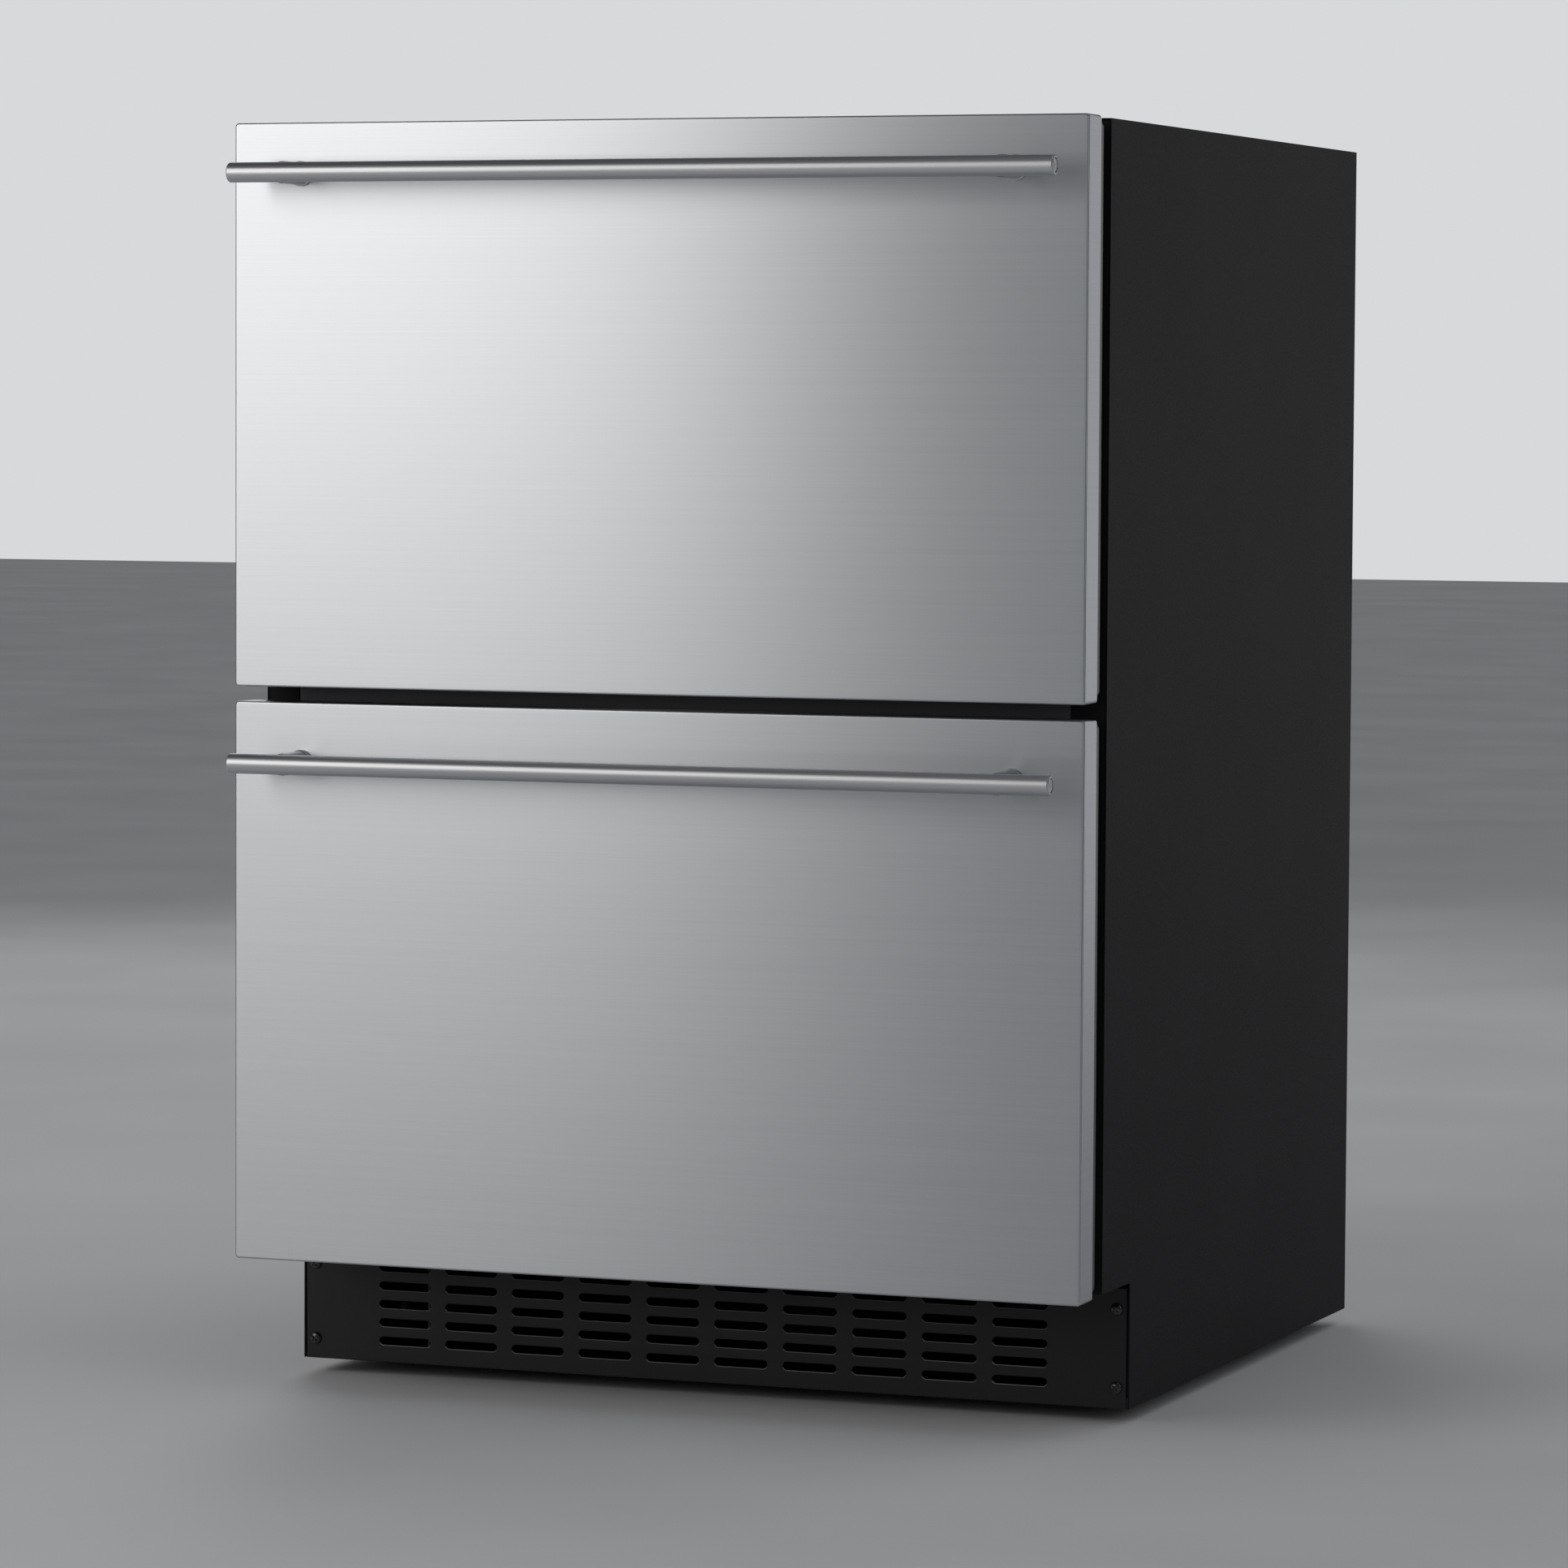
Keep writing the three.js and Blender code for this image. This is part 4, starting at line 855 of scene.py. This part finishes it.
def compressor():
    """Hermetic compressor: two pressed half shells welded round the middle, on a plate with rubber
    grommets."""
    low, high = span("compressor")
    centre = middle("compressor")
    base = Vector((centre.x, centre.y, low.z))
    height = high.z - low.z
    radius = (high.y - low.y) / 2
    flange, neck = radius - 0.2, radius - 2.2
    shell = turned("shell", 2, base, [
        (0.01, 6), (radius * 0.62, 6), (radius * 0.86, height * 0.07), (radius * 0.95, height * 0.16),
        (neck, height * 0.28), (neck, height * 0.53), (flange, height * 0.535), (flange, height * 0.575),
        (neck, height * 0.58), (neck, height * 0.68), (radius * 0.93, height * 0.8),
        (radius * 0.82, height * 0.9), (radius * 0.6, height * 0.965), (radius * 0.3, height * 0.995),
        (0.01, height)], 72)
    sheet = 3
    plate = soft_box("plate", low, (high.x, high.y, low.z + sheet), 0.8)
    show(join("welded_compressor_shell", shell, plate), "cabinet", COMPRESSOR_ENAMEL,
         ["compressor"], 40)
    grommets = []
    inset = 14
    for x in (low.x + inset, high.x - inset):
        for y in (low.y + inset, high.y - inset):
            grommets.append(turned("grommet", 2, Vector((x, y, low.z)), [
                (0.01, sheet), (9, sheet), (10, sheet + 1.5), (8, sheet + 5), (10, sheet + 9),
                (9, sheet + 11), (4, sheet + 11), (4, sheet + 14), (0.01, sheet + 14)], 24))
    show(join("compressor_grommets", *grommets), "cabinet", SEAL_RUBBER, (), 40)
    cover_half, cover_height, cover_depth, cover_stands_out = 26, 42, 26, 8
    x = centre.x - radius - cover_stands_out
    z = low.z + height * 0.34
    cover = soft_box("compressor_terminal_cover", (x, centre.y - cover_half, z),
                     (x + cover_depth, centre.y + cover_half, z + cover_height), 3)
    show(cover, "cabinet", MACHINE_ABS)


def copper_pipes():
    """Suction, discharge and filling pipes of the compressor, and the filter drier with its capillary."""
    centre = middle("compressor")
    low = span("compressor")[0]
    ceiling = span("machine_cover")[1].z
    side = centre.x - 84
    mid = low.z + 78
    suction = tube("suction_pipe", [
        (centre.x - 60, centre.y + 44, mid), (side, centre.y + 60, mid),
        (side - 12, centre.y + 66, mid + 12), (side - 14, centre.y + 68, mid + 60),
        (side - 14, centre.y + 68, ceiling - 30), (side - 14, centre.y + 68, ceiling)], 4)
    discharge = tube("discharge_pipe", [
        (centre.x - 60, centre.y - 44, mid - 20), (side, centre.y - 56, mid - 20),
        (side - 20, centre.y - 62, mid - 20), (side - 28, centre.y - 64, mid),
        (side - 30, centre.y - 64, mid + 60), (side - 30, centre.y - 64, ceiling)], 3)
    filling = tube("filling_pipe", [
        (centre.x - 66, centre.y - 30, mid - 34), (side, centre.y - 40, mid - 34),
        (side - 10, centre.y - 42, mid - 28), (side - 14, centre.y - 42, mid - 8),
        (side - 14, centre.y - 42, mid + 6)], 3)
    drier_place = Vector((side - 62, centre.y + 60, low.z + 96))
    drier = turned("drier", 2, drier_place, [
        (0.01, -4), (2.6, -4), (3, 0), (9, 8), (9.4, 12), (9.4, 88), (9, 92), (3, 100), (2.6, 104),
        (0.01, 104)], 32)
    capillary = tube("capillary", [
        drier_place + Vector((0, 0, 102)), drier_place + Vector((0, 0, 118)),
        drier_place + Vector((10, 0, 128)), drier_place + Vector((22, 0, 132)),
        drier_place + Vector((24, 0, 150)),
        Vector((drier_place.x + 24, drier_place.y, ceiling))], 1.3)
    show(join("copper_pipes", suction, discharge, filling, drier, capillary), "cabinet", COPPER,
         (), 40)


def finned_coil(name, node, along):
    """Thin fins on a hairpin tube that goes to and fro through them, with its bends outside the last fin."""
    low, high = span(node)
    across = 1 - along
    bend, fin_pitch, fin = 8, 4.2, 0.3
    count = int((high[along] - low[along] - 2 * bend) / fin_pitch)
    bm = bmesh.new()
    for i in range(count + 1):
        place = low[along] + bend + (high[along] - low[along] - 2 * bend) * i / count
        size = [0, 0, high.z - low.z]
        size[along], size[across] = fin, high[across] - low[across]
        centre = [0, 0, (low.z + high.z) / 2]
        centre[along], centre[across] = place, (low[across] + high[across]) / 2
        bmesh.ops.create_cube(bm, size=1, matrix=Matrix.Translation(centre) @ Matrix.Diagonal((*size, 1)))
    parts = [from_bmesh("fins", bm)]
    pipe_radius, row_pitch = 3.2, 2 * (bend - 3.4)
    rows = int((high.z - low.z - 8) / row_pitch)
    for share in (0.28, 0.72):
        offset = low[across] + (high[across] - low[across]) * share
        points = []
        for row in range(rows):
            z = (low.z + high.z) / 2 + (row - (rows - 1) / 2) * row_pitch
            ends = [low[along] + bend, high[along] - bend]
            if row % 2:
                ends.reverse()
            outward = 1 if ends[1] > ends[0] else -1
            points += [(ends[0], z), (ends[1], z)]
            if row < rows - 1:
                half = row_pitch / 2
                points += [(ends[1] + outward * half * math.sin(a), z + half * (1 - math.cos(a)))
                           for a in (math.pi * 0.25, math.pi * 0.5, math.pi * 0.75)]
        route = []
        for place, z in points:
            point = [0, 0, z]
            point[along], point[across] = place, offset
            route.append(point)
        parts.append(tube("hairpins", route, pipe_radius, 8, 2))
    show(join(name, *parts), "cabinet", FIN_ALUMINIUM, [node], 40)


def moulded_fan(name, node, body, axis, centre):
    """Moulded axial fan: twisted blades that widen outwards, on a hub with a domed nose."""
    blades, stations, outline_points = 5, 7, 12
    root_pitch, twist, sweep = 52, 26, 0.32
    low, high = span(node)
    depth = high[axis] - low[axis]
    radius = max(high[i] - low[i] for i in range(3) if i != axis) / 2 * 0.985
    hub = radius * 0.27
    u, v = [i for i in range(3) if i != axis]
    centre = Vector(centre)
    centre[axis] = (low[axis] + high[axis]) / 2
    half = depth / 2
    parts = [turned("hub", axis, centre, [
        (0.01, -half), (hub * 0.5, -half + 0.3), (hub * 0.85, -half * 0.8), (hub, -half * 0.5),
        (hub, half - 0.8), (hub - 0.8, half), (0.01, half)], 40)]
    for blade in range(blades):
        rings = []
        for station in range(stations):
            share = station / (stations - 1)
            reach = hub * 0.8 + (radius - hub * 0.8) * share
            pitch = math.radians(root_pitch - twist * share)
            swept = 2 * math.pi * blade / blades + sweep * share ** 1.4
            chord = depth * 0.84 / math.sin(pitch)
            trim = 1 if share < 0.9 else 0.86
            ring = []
            for k in range(outline_points):
                turn = 2 * math.pi * k / outline_points
                along_chord = math.cos(turn) * chord / 2 * trim
                thick = math.sin(turn) * (1.3 - 0.6 * share)
                camber = 0.05 * chord * (1 - (2 * along_chord / chord) ** 2)
                axial = along_chord * math.sin(pitch) + (thick + camber) * math.cos(pitch)
                sideways = along_chord * math.cos(pitch) - (thick + camber) * math.sin(pitch)
                angle = swept + sideways / reach
                point = [0, 0, 0]
                point[axis] = centre[axis] + max(-half + 0.1, min(half - 0.1, axial))
                point[u] = centre[u] + reach * math.cos(angle)
                point[v] = centre[v] + reach * math.sin(angle)
                ring.append(tuple(point))
            rings.append(ring)
        parts.append(loft("blade", rings))
    show(join(name, *parts), body, MACHINE_ABS, [node], 40)


def machine_parts():
    """Everything behind the machine cover, and the mains inlet in it."""
    compressor()
    copper_pipes()
    finned_coil("condenser_fins_and_pipes", "condenser_coil", 1)
    show(refined("moulded_fan_shroud", "condenser_fan_shroud", 0.8, 2), "cabinet", MACHINE_ABS,
         ["condenser_fan_shroud"], 40)
    moulded_fan("condenser_moulded_fan", "condenser_fan_blade", "condenser_fan", 0,
                middle("condenser_fan_shroud"))
    show(refined("formed_drip_tray", "drip_tray", 1.2, 3), "cabinet", MACHINE_ABS,
         ["drip_tray"])
    show(refined("folded_base_tray", "base_tray", 0.4, 2), "cabinet", CASE_PAINT,
         ["base_tray"])
    show(refined("mains_inlet_socket", "power_inlet", 0.8, 2), "cabinet", MACHINE_ABS,
         ["power_inlet"])
    inlet_low, inlet_high = span("power_inlet")
    place = middle("power_inlet")
    pin_x, pin_z = 1, 2.4
    pins = [soft_box("pin", (place.x + x - pin_x, inlet_low.y + 4, place.z + z - pin_z),
                     (place.x + x + pin_x, inlet_high.y - 5, place.z + z + pin_z), 0.4)
            for x, z in ((-7, -2), (7, -2), (0, 3))]
    show(join("mains_inlet_pins", *pins), "cabinet", ZINC_PLATE)


# ---------------------------------------------------------------- inside the compartment

def cooling_parts():
    """Evaporator behind its cover with a wire fan guard, the thermostat with its dial marks, and the lamp."""
    show(refined("formed_evaporator_cover", "evaporator_cover", 1.2, 3), "cabinet", LIGHT_ABS,
         ["evaporator_cover"])
    fan = middle("evaporator_fan_motor")
    fan.y = span("evaporator_cover")[0].y + 1.4
    blade_low, blade_high = span("evaporator_fan_blade")
    hole = (blade_high.z - blade_low.z) / 2 + 3
    wire, spokes = 1.0, 6
    guard = [ring_of_wire("guard", 1, fan, hole * share, wire) for share in (0.25, 0.5, 0.75, 1.0)]
    for i in range(spokes):
        angle = math.pi * i / spokes
        end = Vector((math.cos(angle), 0, math.sin(angle))) * hole * 1.06
        guard.append(tube("spoke", [fan - end, fan, fan + end], wire, 8, 2))
    show(join("evaporator_fan_guard", *guard), "cabinet", ZINC_PLATE, (), 50)
    finned_coil("evaporator_fins_and_pipes", "evaporator_coil", 0)
    show(refined("evaporator_motor_can", "evaporator_fan_motor", 1.2, 3), "cabinet", MACHINE_ABS,
         ["evaporator_fan_motor"])
    moulded_fan("evaporator_moulded_fan", "evaporator_fan_blade", "evaporator_fan", 1,
                middle("evaporator_fan_motor"))
    show(refined("thermostat_box", "thermostat_housing", 3, 4), "cabinet", LIGHT_ABS,
         ["thermostat_housing"])
    knob = middle("thermostat_knob")
    show(refined("thermostat_dial", "thermostat_knob", 0.5, 3), "thermostat_dial", DIAL_ABS,
         ["thermostat_knob"])
    face = span("thermostat_housing")[0].y
    place = Matrix.Translation(Vector((knob.x, face, knob.z)) * M)
    marks = []
    steps, sweep, mark_radius = 7, 270, 14.2
    for i in range(steps):
        angle = math.radians(-sweep / 2 + sweep * i / (steps - 1))
        mark = soft_box("mark", (-0.5, -0.15, -1.2 - 0.25 * i), (0.5, 0.3, 1.2), 0.1, 1)
        outwards = Matrix.Translation((0, 0, mark_radius * M))
        mark.data.transform(place @ Matrix.Rotation(angle, 4, "Y") @ outwards)
        marks.append(mark)
    show(join("thermostat_dial_marks", *marks), "cabinet", MACHINE_ABS)
    show(refined("ribbed_lamp_cover", "interior_lamp", 2.5, 4), "cabinet", LENS,
         ["interior_lamp"])


def keep(node, material):
    """A CAD piece whose own shape is right, with its finish."""
    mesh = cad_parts[node].data
    mesh.materials.clear()
    mesh.materials.append(material)


# ---------------------------------------------------------------- scene

def softbox(name, place, size, power, aim, colour=(1, 1, 1)):
    """A soft rectangular light that faces a point."""
    lamp = bpy.data.lights.new(name, "AREA")
    lamp.shape = "RECTANGLE"
    lamp.size, lamp.size_y = size
    lamp.energy = power
    lamp.color = colour
    obj = new_object(name, lamp)
    obj.location = place
    obj.rotation_euler = (Vector(aim) - Vector(place)).to_track_quat("-Z", "Y").to_euler()


def studio():
    """Pale floor, dim soft air, and one bright box at the front left that the steel mirrors."""
    bpy.ops.mesh.primitive_plane_add(size=40)
    floor = bpy.context.object
    floor.name = "studio_floor"
    floor.data.materials.append(studio_floor())

    world = bpy.data.worlds.new("studio_air")
    bpy.context.scene.world = world
    world.use_nodes = True
    tree = world.node_tree
    air = tree.nodes["Background"]
    air.inputs["Color"].default_value = linear("#d9dee7")
    air.inputs["Strength"].default_value = 0.085
    soft_fill = add_node(tree, "ShaderNodeBackground", [("Color", linear("#e4e6e8")), ("Strength", 0.43)])
    backdrop = add_node(tree, "ShaderNodeBackground", [("Color", linear("#dcdee0")), ("Strength", 0.95)])
    ray = add_node(tree, "ShaderNodeLightPath")
    lit = add_node(tree, "ShaderNodeMixShader", [
        (0, ray.outputs["Is Diffuse Ray"]), (1, air.outputs[0]), (2, soft_fill.outputs[0])])
    both = add_node(tree, "ShaderNodeMixShader", [
        (0, ray.outputs["Is Camera Ray"]), (1, lit.outputs[0]), (2, backdrop.outputs[0])])
    tree.links.new(both.outputs[0], tree.nodes["World Output"].inputs["Surface"])
    bpy.context.scene.view_settings.view_transform = "Standard"

    softbox("key_left_front", (-1.73, -2.42, 1.47), (1.9, 2.1), 28, (0, 0, 1.25), (1, 0.965, 0.92))
    softbox("fill_front", (-0.1, -3.3, 1.5), (1.2, 2.0), 2.0, (0, 0, 0.7))
    softbox("top", (1.2, -0.2, 3.2), (3.2, 2.8), 8, (1.0, -0.2, 0))
    softbox("right_back", (1.45, 2.8, 1.17), (1.2, 2.3), 8.5, (0.3, 0, 0.8))
    softbox("right_front", (2.4, -1.5, 1.2), (0.3, 0.6), 3, (0.3, -0.2, 0.4))
    softbox("back", (-1.8, 3.0, 1.9), (2.0, 1.8), 16, (0, 0, 0.4))


def camera():
    """A long lens from the front right, a little above the middle of the fridge, looking slightly down."""
    view = bpy.data.cameras.new("camera")
    view.sensor_width = 36
    view.lens = 146.8
    obj = new_object("camera", view)
    obj.location = (1.579, -4.161, 0.668)
    turn = Matrix.Rotation(math.radians(20.98), 4, "Z")
    tilt = Matrix.Rotation(math.pi / 2 + math.radians(-3.39), 4, "X")
    roll = Matrix.Rotation(math.radians(0.30), 4, "Z")
    obj.rotation_euler = (turn @ tilt @ roll).to_euler()
    bpy.context.scene.camera = obj


camera()
studio()
for drawer_name in ("upper", "lower"):
    build_drawer(drawer_name)
kick_plate()
for number in range(1, 5):
    pan_screw(f"kick_plate_screw_{number}", f"kick_screw_{number}")
    levelling_foot(number)
case_shell()
back_of_case()
machine_cover()
liner()
machine_parts()
cooling_parts()
keep("cabinet_insulation", FOAM)

bpy.context.view_layer.update()
